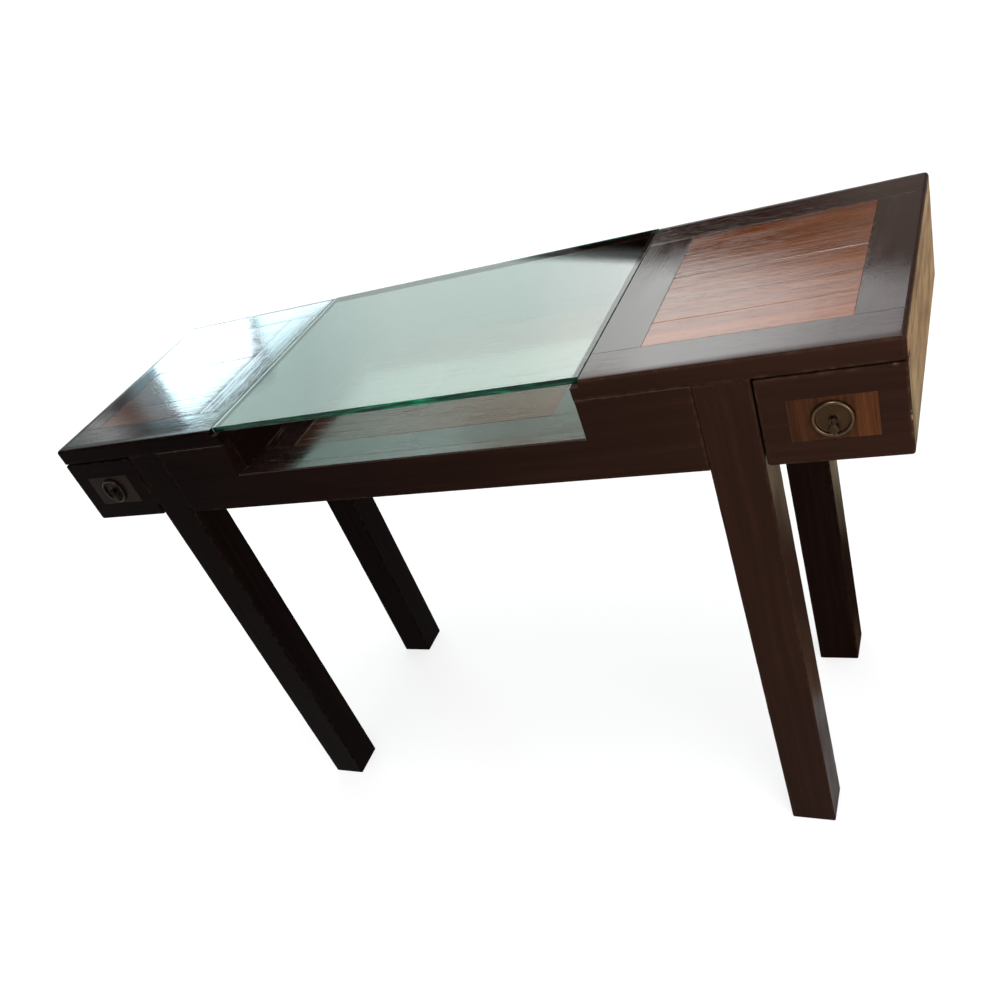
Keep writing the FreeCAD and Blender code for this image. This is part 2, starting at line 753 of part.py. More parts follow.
def draw_teardrop(sketch):
    """Neck of two upright lines, then two lines tangent to the round of the drop."""
    neck = s.eye_thick / 2
    top = s.drop_root
    n, t, d = neck.number, top.number, s.drop_neck.number
    c, r = s.drop_centre.number, s.drop_radius.number
    reach = c - d
    lean = math.asin(r / math.hypot(reach, n)) - math.atan2(n, reach)
    side_x, side_z = r * math.cos(lean), -c + r * math.sin(lean)
    spots = [(-side_x, side_z), (-n, -d), (-n, -t), (n, -t), (n, -d), (side_x, side_z)]
    points = [FreeCAD.Vector(x, z, 0) for x, z in spots]
    for start, end in zip(points, points[1:]):
        sketch.addGeometry(Part.LineSegment(start, end), False)
    arc = Part.Arc(points[0], FreeCAD.Vector(0, -c - r, 0), points[-1])
    sketch.addGeometry(arc, False)
    round_edge = len(points) - 1
    for index in range(round_edge - 1):
        sketch.addConstraint(Sketcher.Constraint("Coincident", index, 2, index + 1, 1))
    sketch.addConstraint(Sketcher.Constraint("Tangent", 0, 1, round_edge, 1))
    sketch.addConstraint(Sketcher.Constraint("Tangent", round_edge - 1, 2, round_edge, 2))
    pin_point(sketch, round_edge, 3, (0, -s.drop_centre))
    radius = sketch.addConstraint(Sketcher.Constraint("Radius", round_edge, r))
    bind(sketch, f"Constraints[{radius}]", s.drop_radius)
    for index, corner in ((1, (-neck, -s.drop_neck)), (2, (-neck, -top)), (3, (neck, -top)),
                          (4, (neck, -s.drop_neck))):
        pin_point(sketch, index, 1, corner)


def write_parts():
    """Check every object, then write each piece to its own file."""
    doc.recompute()
    for thing in doc.Objects:
        if "Invalid" in thing.State or "Error" in thing.State:
            raise RuntimeError(f"{thing.Label} failed: {thing.State}")
    for label, piece in nodes.items():
        if piece.Shape.isNull() or not piece.Shape.isValid():
            raise RuntimeError(f"{label} has no valid shape")
    os.makedirs("parts", exist_ok=True)
    for label, piece in nodes.items():
        piece.Shape.exportStep(os.path.join("parts", f"{label}.step"))
    print(f"{len(nodes)} pieces written")


for table_side in (LEFT, RIGHT):
    for table_end in (FRONT, BACK):
        make_leg(table_side, table_end)
make_aprons()
make_corner_blocks()
make_deck()
make_glass()
for table_side in (LEFT, RIGHT):
    make_side_rail(table_side)
    make_recess_wall(table_side)
    make_end_top(table_side)
    make_drawer_bay(table_side)
    make_drawer(table_side)
    make_pull_plate(table_side)
    make_pull_post(table_side)
    make_pull_nut(table_side)
    make_pull_drop(table_side)
write_parts()
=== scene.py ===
"""Dress the display table: lacquered boards, red plank panels, float glass and brass drop pulls.

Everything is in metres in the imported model's frame: X to the right, Y to the back, Z up.
"""
from __future__ import annotations

import json
import logging
import math
import zlib
from dataclasses import dataclass, replace
from enum import Enum
from itertools import product
from typing import Callable, Optional, Sequence, Union

import bmesh
import bpy
from bmesh.types import BMEdge, BMFace
from bpy.types import Material, Node, NodeSocket, NodeTree, Object, Texture
from mathutils import Matrix, Vector

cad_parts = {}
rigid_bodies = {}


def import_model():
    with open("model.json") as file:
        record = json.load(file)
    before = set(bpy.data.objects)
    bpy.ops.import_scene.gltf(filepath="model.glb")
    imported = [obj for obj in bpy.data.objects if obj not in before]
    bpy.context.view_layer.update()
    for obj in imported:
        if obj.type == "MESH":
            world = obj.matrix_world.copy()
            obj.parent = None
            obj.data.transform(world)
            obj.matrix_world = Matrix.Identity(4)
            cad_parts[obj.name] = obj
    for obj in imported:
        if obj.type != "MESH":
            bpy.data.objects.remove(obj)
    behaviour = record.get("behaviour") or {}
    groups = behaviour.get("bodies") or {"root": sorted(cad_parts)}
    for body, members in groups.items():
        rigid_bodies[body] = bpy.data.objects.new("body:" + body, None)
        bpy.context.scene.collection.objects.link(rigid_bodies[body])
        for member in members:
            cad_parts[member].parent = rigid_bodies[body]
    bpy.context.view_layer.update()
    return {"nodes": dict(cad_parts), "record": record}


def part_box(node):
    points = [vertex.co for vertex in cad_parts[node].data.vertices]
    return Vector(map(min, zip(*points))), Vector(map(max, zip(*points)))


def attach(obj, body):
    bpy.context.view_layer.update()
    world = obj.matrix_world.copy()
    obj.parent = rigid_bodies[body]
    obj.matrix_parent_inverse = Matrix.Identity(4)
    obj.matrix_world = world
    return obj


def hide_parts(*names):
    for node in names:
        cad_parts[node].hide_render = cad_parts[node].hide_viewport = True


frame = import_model()

LOG = logging.getLogger("display_table")
MM = 0.001
TOUCH = 1e-5
# size of the wear along an arris, and from how many degrees on an edge counts as sharp
ARRIS_WEAR = 18 * MM
SHARP = 55.0
GLASS_IOR = 1.52


class Side(Enum):
    """A side of a box: its axis, and its low or high end."""

    LEFT = (0, 0)
    RIGHT = (0, 1)
    FRONT = (1, 0)
    BACK = (1, 1)
    BOTTOM = (2, 0)
    TOP = (2, 1)


class Grain(Enum):
    """The axis that a board's fibres run along, as the order (along, across, through)."""

    X = (0, 1, 2)
    Y = (1, 0, 2)
    Z = (2, 0, 1)


class End(Enum):
    """One end of the table: its name, the sign of its X, and how brown and how worn its boards came out.

    Painted shade: the left end's boards are painted near black, as if in shade, and the right end's keep
    their warm brown. The right end is handled more.
    """

    # painted shade: the left end's boards get the lowest tone, so they are painted near black
    LEFT = ("left", -1, 0.0, 0.4)
    RIGHT = ("right", 1, 1.0, 1.0)

    def __init__(self, word: str, sign: int, stain: float, wear: float) -> None:
        """Give the end's values their names.

        Args:
            word: Name of the end in the nodes' names.
            sign: Sign of X on this end.
            stain: Lean of its boards to the warm tone; 0 paints them near black as shade.
            wear: Share of a board's usual wear.
        """
        self.word = word
        self.sign = sign
        self.stain = stain
        self.wear = wear

    @property
    def outside(self) -> Side:
        """The side that faces away from the table's middle."""
        return Side.RIGHT if self is End.RIGHT else Side.LEFT


class Coat(Enum):
    """Coat of a dark board's upward faces, as the least upward share of a normal; other faces are waxed.

    No normal reaches the wax's share, so a board with no other coat is waxed all over.
    """

    WAX = 2.0
    LACQUER = 0.9
    POLISH = 0.35


class Slot(Enum):
    """Material slots of the record."""

    DARK = "dark_wood"
    PLANK = "plank_wood"
    INLAY = "inlay_wood"
    BRASS = "brass"
    GLASS = "glass"


def at_ends(part: str) -> list:
    """Names of a part's nodes at the left and right end."""
    return [f"{part}_{end.word}" for end in End]


def linear(code: str) -> tuple[float, float, float, float]:
    """Turn an sRGB hex colour into linear light.

    Args:
        code: Hash and six hex digits.

    Returns:
        Red, green, blue and an alpha of 1.
    """
    shares = [int(code[start:start + 2], 16) / 255 for start in (1, 3, 5)]
    light = [c / 12.92 if c <= 0.04045 else ((c + 0.055) / 1.055) ** 2.4 for c in shares]
    return (light[0], light[1], light[2], 1.0)


def add(tree: NodeTree, kind: str, sockets: Union[dict, Sequence] = (), stops: Sequence = (),
        **settings) -> Node:
    """Add a node with its settings, values and links.

    Args:
        tree: Node tree that gets the node.
        kind: Node type's identifier, without the ShaderNode in front.
        sockets: Inputs in order, or by name or number: a value, or what is linked to it. A node is linked by
            its first output.
        stops: Places and hex colours of a colour ramp.
        **settings: Properties of the node.

    Returns:
        The new node.
    """
    node = tree.nodes.new(f"ShaderNode{kind}")
    for name, value in settings.items():
        setattr(node, name, value)
    for key, value in sockets.items() if isinstance(sockets, dict) else enumerate(sockets):
        if isinstance(value, Node):
            value = value.outputs[0]
        if isinstance(value, NodeSocket):
            tree.links.new(value, node.inputs[key])
        else:
            node.inputs[key].default_value = value
    if stops:
        points = node.color_ramp.elements
        while len(points) < len(stops):
            points.new(1.0)
        for point, (place, code) in zip(points, stops):
            point.position = place
            point.color = linear(code)
    return node


def new_material(name: str) -> tuple[Material, NodeTree]:
    """Start an empty node material.

    Args:
        name: The material's name.

    Returns:
        The material and its empty tree.
    """
    material = bpy.data.materials.new(name)
    material.use_nodes = True
    material.node_tree.nodes.clear()
    return material, material.node_tree


# patterns in wood: millimetres across the fibres, and how many times longer they are along them
WANDER = (60.0, 5.0)
PATCHES = (34.0, 2.0)
HAIRS = (1.1, 90.0)
NIBS = (2.2, 1.6)
STREAK_STRETCH = 30.0
LINE_STRETCH = 45.0
PORE_STRETCH = 16.0
# how far the fibres wander, in metres on each axis
DRIFT = (0.0, 0.016, 0.016)
# how many seeds boards have, how many there are to a unit, and how far a unit shifts a board's patterns
SEED_COUNT = 89
SEEDS_PER_UNIT = 10
SEED_SHIFT = (3.7, 1.3, 2.9)
# size of the worn spots on an arris, in millimetres
WORN_SPOT = 11.0
# parts of a noise's range over which marks begin to show, and the part of a rim where chips do
LINE_RANGE = (0.54, 0.68)
PORE_RANGE = (0.60, 0.74)
PATCH_RANGE = (0.35, 0.70)
HAIR_RANGE = (0.70, 0.76)
RUB_RANGE = (0.42, 0.72)
CHIP_RANGE = (0.66, 0.70)
CHIP_RIM = (0.45, 0.6)
# what streaks, fibres and pores add to the coat's height, and handling and rubbing to its roughness
SWELL = 1.4
RIDGE = 0.45
DIP = -0.15
HANDLED_DULL = 0.45
RUBBED_DULL = 0.4


@dataclass(frozen=True)
class Tones:
    """Colours of a board, as sRGB hex: its darkest lines, its common tone and its lightest streaks."""

    deep: str
    body: str
    pale: str

    def stops(self) -> list:
        """Stops of the colour ramp that a board's figure runs through."""
        return [(0.24, self.deep), (0.48, self.body), (0.70, self.pale)]


@dataclass(frozen=True)
class Wood:
    """Planed hardwood under brushed lacquer.

    Fibres give long streaks and fine dark lines, pores give short dashes, and hands rub the stain off the
    arrises. The lacquer is glossy, a little dulled in patches, and follows the grain's relief. Widths of
    streaks, lines, pores, rubbed arrises and handled rims, the relief, and the places of the rims are
    millimetres. The rear rim has its place and how fast it narrows. A board's tone blends the dark tones
    into the light ones; low tones are painted shade on the left end, the backs and the deck. A wood for
    pieces without board attributes has only dark tones, its own colour, and doesn't wear.
    """

    name: str
    dark: Tones
    light: Optional[Tones] = None
    worn: str = ""
    bare: str = ""
    streak: float = 9.0
    line: float = 2.4
    pore: float = 0.9
    line_share: float = 0.12
    pore_share: float = 0.10
    relief: float = 0.08
    gloss: float = 0.09
    dulled: float = 0.09
    shine: float = 0.5
    scuff: float = 0.0
    rub: float = 4.0
    open_grain: float = 0.0
    handled: float = 0.0
    peel: float = 0.0
    outline: tuple = (-600.0, -195.0)
    rear: tuple = (190.5, 2.7)

    def pattern(self, tree: NodeTree, place: Union[Node, NodeSocket], width: float, stretch: float,
                detail: float, roughness: float = 0.5) -> Node:
        """Lay noise of a real size over a board.

        Args:
            tree: The material's tree.
            place: Place in the board, with the fibres along X.
            width: Size across the fibres, in millimetres.
            stretch: How many times longer it is along them.
            detail: Finer layers on top.
            roughness: Strength of each finer layer.

        Returns:
            The noise.
        """
        across = 1 / (width * MM)
        scale = (1 / (width * stretch * MM), across, across)
        grid = add(tree, "Mapping", {"Vector": place, "Scale": scale})
        return add(tree, "TexNoise", {"Vector": grid, "Scale": 1.0, "Detail": detail, "Roughness": roughness})

    def make(self, along: Optional[Grain] = None) -> Material:
        """Build the material.

        Args:
            along: Fibre axis on a piece without board attributes, which then reads Object coordinates.

        Returns:
            The finished material.
        """
        material, tree = new_material(self.name if along is None else f"{self.name}_{along.name.lower()}")
        if along is None:
            local, half, mark = (add(tree, "Attribute", attribute_name=name).outputs["Vector"]
                                 for name in ("local", "half", "mark"))
            seed, tone, wear = add(tree, "SeparateXYZ", (mark,)).outputs
            shift = add(tree, "VectorMath", {0: SEED_SHIFT, "Scale": seed}, operation="SCALE")
            place = add(tree, "VectorMath", (local, shift), operation="ADD")
        else:
            parts = add(tree, "SeparateXYZ", (add(tree, "TexCoord").outputs["Object"],)).outputs
            place = add(tree, "CombineXYZ", [parts[axis] for axis in along.value])

        # the log was never straight, so the fibres wander a few millimetres across a board
        drift = self.pattern(tree, place, *WANDER, 1.0).outputs["Color"]
        bent = add(tree, "VectorMath", (drift, DRIFT, place), operation="MULTIPLY_ADD")
        streaks = self.pattern(tree, bent, self.streak, STREAK_STRETCH, 4.0, 0.55)
        fibres = self.pattern(tree, bent, self.line, LINE_STRETCH, 2.0)
        pores = self.pattern(tree, bent, self.pore, PORE_STRETCH, 0.0)
        patches = self.pattern(tree, place, *PATCHES, 3.0)
        lines = add(tree, "MapRange", (fibres, *LINE_RANGE))
        dashes = add(tree, "MapRange", (pores, *PORE_RANGE))
        figure = streaks
        for marks, share in ((lines, self.line_share), (dashes, self.pore_share)):
            figure = add(tree, "Math", (marks, -share, figure), operation="MULTIPLY_ADD")
        tint = add(tree, "ValToRGB", (figure,), self.dark.stops())
        rough = add(tree, "MapRange", (patches, *PATCH_RANGE, self.gloss, self.gloss + self.dulled))
        if self.open_grain:
            # the coat has sunk into the open lines of the grain and is dull there
            rough = add(tree, "Math", (lines, self.open_grain, rough), operation="MULTIPLY_ADD")
        if self.handled:
            rough = self.dull_rims(tree, rough)
        if along is None:
            # painted shade: a low tone keeps the board near its dark tones
            washes = [(tone, add(tree, "ValToRGB", (figure,), self.light.stops()))]
            if self.scuff:
                # things pushed about on the show face leave hairline scuffs along the boards
                hairs = self.pattern(tree, place, *HAIRS, 1.0)
                hairs = add(tree, "MapRange", (hairs, *HAIR_RANGE, 0.0, self.scuff))
                washes.append((hairs, linear(self.bare)))
            rubbed, chips = self.rub_arrises(tree, local, half, wear)
            washes += [(rubbed, linear(self.worn)), (chips, linear(self.bare))]
            for share, colour in washes:
                tint = add(tree, "Mix", {0: share, 6: tint, 7: colour}, data_type="RGBA").outputs[2]
            rough = add(tree, "Math", (rubbed, RUBBED_DULL, rough), operation="MULTIPLY_ADD")

        # the coat swells with the streaks, rides over the fibres and dips into the pores
        layers = [(streaks, SWELL), (fibres, RIDGE), (dashes, DIP)]
        if self.peel:
            # dust and orange peel in the coat, a few millimetres apart
            layers.append((self.pattern(tree, place, *NIBS, 2.0), self.peel))
        height = 0.0
        for layer, share in layers:
            height = add(tree, "Math", (layer, share, height), operation="MULTIPLY_ADD")
        bump = add(tree, "Bump", {"Height": height, "Strength": 1.0, "Distance": self.relief * MM})
        shader = add(tree, "BsdfPrincipled", {"Base Color": tint, "Roughness": rough, "Normal": bump,
                                              "Specular IOR Level": self.shine})
        add(tree, "OutputMaterial", (shader,))
        return material

    def dull_rims(self, tree: NodeTree, rough: Node) -> Node:
        """Dull the lacquer where hands and cloths pass: the front and left edges, and a little at the back.

        Args:
            tree: The material's tree.
            rough: Roughness so far.

        Returns:
            The roughness with the dull rims.
        """
        x, y, _ = add(tree, "SeparateXYZ", (add(tree, "TexCoord").outputs["Object"],)).outputs
        limit, pace = self.rear
        rim = add(tree, "Math", (y, -pace, limit * pace * MM), operation="MULTIPLY_ADD")
        for place, edge in zip((x, y), self.outline):
            inward = add(tree, "Math", (place, edge * MM), operation="SUBTRACT")
            rim = add(tree, "Math", (inward, rim), operation="MINIMUM")
        dull = add(tree, "MapRange", (rim, 0.0, self.handled * MM, HANDLED_DULL, 0.0))
        return add(tree, "Math", (rough, dull), operation="ADD")

    def rub_arrises(self, tree: NodeTree, local: NodeSocket, half: NodeSocket, wear: NodeSocket) -> tuple:
        """Find where the stain is worn off near a board's arrises.

        The middle one of the distances to the board's three pairs of faces is that to its nearest arris.

        Args:
            tree: The material's tree.
            local: Place in the board, from its middle.
            half: Half the board's sizes.
            wear: How much this board is worn.

        Returns:
            How far it is rubbed, and where it is chipped.
        """
        away = add(tree, "VectorMath", (local,), operation="ABSOLUTE")
        inward = add(tree, "VectorMath", (half, away), operation="SUBTRACT")
        x, y, z = add(tree, "SeparateXYZ", (inward,)).outputs
        low = add(tree, "Math", (x, y), operation="MINIMUM")
        high = add(tree, "Math", (x, y), operation="MAXIMUM")
        high = add(tree, "Math", (high, z), operation="MINIMUM")
        near = add(tree, "Math", (low, high), operation="MAXIMUM")
        rim = add(tree, "MapRange", (near, 0.0, self.rub * MM, 1.0, 0.0))
        rim = add(tree, "Math", (rim, wear), operation="MULTIPLY")
        fine = add(tree, "TexNoise", {"Vector": local, "Scale": 1 / (WORN_SPOT * MM), "Detail": 4.0})
        edge = add(tree, "MapRange", (rim, *CHIP_RIM))
        shares = []
        for marks, place in ((RUB_RANGE, rim), (CHIP_RANGE, edge)):
            share = add(tree, "MapRange", (fine, *marks))
            shares.append(add(tree, "Math", (share, place), operation="MULTIPLY"))
        return tuple(shares)


# painted shade: near-black tones that stand for the warm brown stain in shade
SHADED_STAIN = Tones("#090403", "#0f0706", "#160b09")
BROWN_STAIN = Tones("#281912", "#2c1b15", "#321f17")
# stained and waxed warm brown, with a soft weak sheen; the near-black tones are painted shade
DARK_WAX = Wood("stained_hardwood_waxed", SHADED_STAIN, BROWN_STAIN, worn="#56402f", bare="#b59a78",
                relief=0.06, gloss=0.32, dulled=0.12, shine=0.010)
# the same under brushed lacquer: a mirror sheen that dulls towards the front
DARK_LACQUER = replace(DARK_WAX, name="stained_hardwood_lacquered", relief=0.075, gloss=0.045, dulled=0.07,
                       shine=0.5, scuff=0.10, handled=16.0, peel=0.3)
# the deck under the glass, rubbed out and polished: a stronger mirror than the tops, broken by the grain
DARK_POLISH = replace(DARK_LACQUER, name="stained_hardwood_polished", relief=0.08, gloss=0.10, shine=0.95,
                      handled=0.0, scuff=0.22, open_grain=0.12)
# red planks, brushed lacquer: fine dark fibre lines on red brown
RED_LACQUER = Wood("red_hardwood_lacquered", Tones("#2a120a", "#3a1c10", "#452415"),
                   Tones("#683211", "#7f4419", "#8d4f21"), worn="#8a5a34", bare="#c79a70", streak=16.0,
                   relief=0.07, gloss=0.05, dulled=0.07, scuff=0.14, open_grain=0.10, peel=0.4)
# red planks of the deck, polished like its border: darker tones, painted shade under the glass, with closer
# lines
RED_POLISH = replace(RED_LACQUER, name="red_hardwood_polished", dark=Tones("#170d09", "#20120c", "#28170f"),
                     gloss=0.12, shine=0.6, streak=10.0, line_share=0.16, scuff=0.25, open_grain=0.16)
# upright strips on the drawers: softer contrast under a satin coat
INLAY_STRIPS = Wood("inlay_hardwood_satin", Tones("#100a07", "#18100b", "#1f150f"),
                    Tones("#3a1f10", "#4f2d18", "#5f3920"), worn="#5a3820", bare="#8a6238", streak=5.0,
                    line=1.8, relief=0.03, gloss=0.32, dulled=0.1, shine=0.04)
# bare drawer wood: sawn and sanded, unstained, no lacquer, so pale and matt
PLAIN_WOOD = Wood("sanded_drawer_hardwood", Tones("#6f4f33", "#93714e", "#ab8a64"), streak=12.0, relief=0.04,
                  gloss=0.5, dulled=0.1, shine=0.25)


@dataclass(frozen=True)
class AgedBrass:
    """Turned brass, lacquer long gone: dark hollows, the rim's crest rubbed a little brighter, the drop dull.

    Depths are millimetres along Y: the dish, and the drop's front. Clouds and grit are millimetres across.
    The roughness runs from the hollows to the crest, and the drop has its own.
    """

    name: str = "aged_turned_brass"
    patina: str = "#38291b"
    brass: str = "#443526"
    rubbed: str = "#513f31"
    dull: str = "#35281d"
    dish: float = -196.6
    front: float = -201.0
    cloud: float = 5.0
    cloud_share: float = 0.12
    rough: tuple = (0.5, 0.27)
    drop_rough: float = 0.6
    grit: float = 0.8
    grit_height: float = 0.03
    grit_share: float = 0.5

    def make(self) -> Material:
        """Build the material.

        Returns:
            The finished material.
        """
        material, tree = new_material(self.name)
        spot = add(tree, "TexCoord").outputs["Object"]
        depth = add(tree, "SeparateXYZ", (spot,)).outputs[1]
        raised = add(tree, "MapRange", (depth, self.dish * MM, self.front * MM))
        cloud = add(tree, "TexNoise", {"Vector": spot, "Scale": 1 / (self.cloud * MM), "Detail": 5.0})
        cloud = add(tree, "MapRange", (cloud, 0.3, 0.7, -self.cloud_share, self.cloud_share))
        share = add(tree, "Math", (cloud, raised), operation="ADD")
        stops = [(0.05, self.patina), (0.40, self.brass), (0.54, self.rubbed), (0.72, self.dull)]
        tint = add(tree, "ValToRGB", (share,), stops)
        rough = add(tree, "MapRange", (share, 0.1, 0.5, *self.rough))
        drop = add(tree, "MapRange", (share, 0.6, 0.75, 0.0, self.drop_rough))
        rough = add(tree, "Math", (rough, drop), operation="MAXIMUM")
        grit = add(tree, "TexNoise", {"Vector": spot, "Scale": 1 / (self.grit * MM), "Detail": 2.0})
        bump = add(tree, "Bump", {"Height": grit, "Strength": self.grit_share,
                                  "Distance": self.grit_height * MM})
        shader = add(tree, "BsdfPrincipled", {"Base Color": tint, "Metallic": 1.0, "Roughness": rough,
                                              "Normal": bump})
        add(tree, "OutputMaterial", (shader,))
        return material


RIGHT_BRASS = AgedBrass()
# painted shade: the left pull is painted nearly black, like the rest of the left end
LEFT_BRASS = AgedBrass("blackened_turned_brass", "#15100c", "#1b140e", "#2a2017", "#1d1712")


@dataclass(frozen=True)
class FloatGlass:
    """Clear float glass: faces left as drawn from the bath, so perfectly smooth, with a faint green cast.

    It was wiped by hand, so faint smears, some millimetres across, dull it here and there.
    """

    name: str = "clear_float_glass"
    cast: str = "#e6f5ef"
    smear: float = 26.0
    smear_dull: float = 0.006

    def make(self) -> Material:
        """Build the material.

        Returns:
            The finished material.
        """
        material, tree = new_material(self.name)
        spot = add(tree, "TexCoord").outputs["Object"]
        haze = add(tree, "TexNoise", {"Vector": spot, "Scale": 1 / (self.smear * MM), "Detail": 3.0})
        rough = add(tree, "MapRange", (haze, 0.45, 0.75, 0.0, self.smear_dull))
        shader = add(tree, "BsdfPrincipled", {"Base Color": linear(self.cast), "Roughness": rough,
                                              "IOR": GLASS_IOR, "Transmission Weight": 1.0})
        add(tree, "OutputMaterial", (shader,))
        return material


@dataclass(frozen=True)
class GlassEdge:
    """Ground and polished edge of the sheet: light that has come far through the glass leaves it deep green.

    Painted light: the front is painted brighter near its middle, where most light comes out, and the left
    edge, which looks into the light that runs along inside the sheet, is painted in a daylight colour as a
    painted highlight. Streaks and places along X are millimetres.
    """

    name: str = "polished_glass_edge"
    shade: str = "#03211a"
    green: str = "#0a4a34"
    light: str = "#16986a"
    daylight: str = "#cfe6df"
    streak: tuple = (40.0, 3.0)
    lit_edge: tuple = (-273.0, -272.5)
    lit_share: float = 0.8
    lit_middle: tuple = (70.0, 170.0)
    lit_middle_share: float = 0.10
    gloss: float = 0.12
    shine: float = 0.15

    def make(self) -> Material:
        """Build the material.

        Returns:
            The finished material.
        """
        material, tree = new_material(self.name)
        spot = add(tree, "TexCoord").outputs["Object"]
        long, thin = (1 / (width * MM) for width in self.streak)
        grid = add(tree, "Mapping", {"Vector": spot, "Scale": (long, long, thin)})
        cells = add(tree, "TexNoise", {"Vector": grid, "Scale": 1.0, "Detail": 4.0, "Roughness": 0.6})
        across = add(tree, "SeparateXYZ", (spot,)).outputs[0]
        # painted light: the front is painted lighter near its middle
        middle, reach = self.lit_middle
        off = add(tree, "Math", (across, middle * MM), operation="SUBTRACT")
        off = add(tree, "Math", (off,), operation="ABSOLUTE")
        share = add(tree, "MapRange", (off, 0.0, reach * MM, self.lit_middle_share, -self.lit_middle_share))
        share = add(tree, "Math", (cells, share), operation="ADD")
        tint = add(tree, "ValToRGB", (share,), [(0.36, self.shade), (0.54, self.green), (0.72, self.light)])
        # painted highlight: the left edge is painted in a daylight colour
        outer, inner = self.lit_edge
        lit = add(tree, "MapRange", (across, outer * MM, inner * MM, self.lit_share, 0.0))
        tint = add(tree, "Mix", {0: lit, 6: tint, 7: linear(self.daylight)}, data_type="RGBA").outputs[2]
        shader = add(tree, "BsdfPrincipled", {"Base Color": tint, "Roughness": self.gloss, "IOR": GLASS_IOR,
                                              "Specular IOR Level": self.shine})
        add(tree, "OutputMaterial", (shader,))
        return material


def select(*items: Object) -> None:
    """Select nothing but some objects.

    Args:
        *items: The objects, the active one first.
    """
    bpy.ops.object.select_all(action="DESELECT")
    for item in items:
        item.select_set(True)
    bpy.context.view_layer.objects.active = items[0]


def start(shape: str, **settings) -> Object:
    """Add a primitive, with nothing else selected.

    Args:
        shape: The primitive's name.
        **settings: What its operator takes.

    Returns:
        The new object.
    """
    bpy.ops.object.select_all(action="DESELECT")
    getattr(bpy.ops.mesh, f"primitive_{shape}_add")(**settings)
    return bpy.context.object


def rename(item: Object, name: str) -> None:
    """Name an object and its mesh."""
    item.name = name
    item.data.name = name


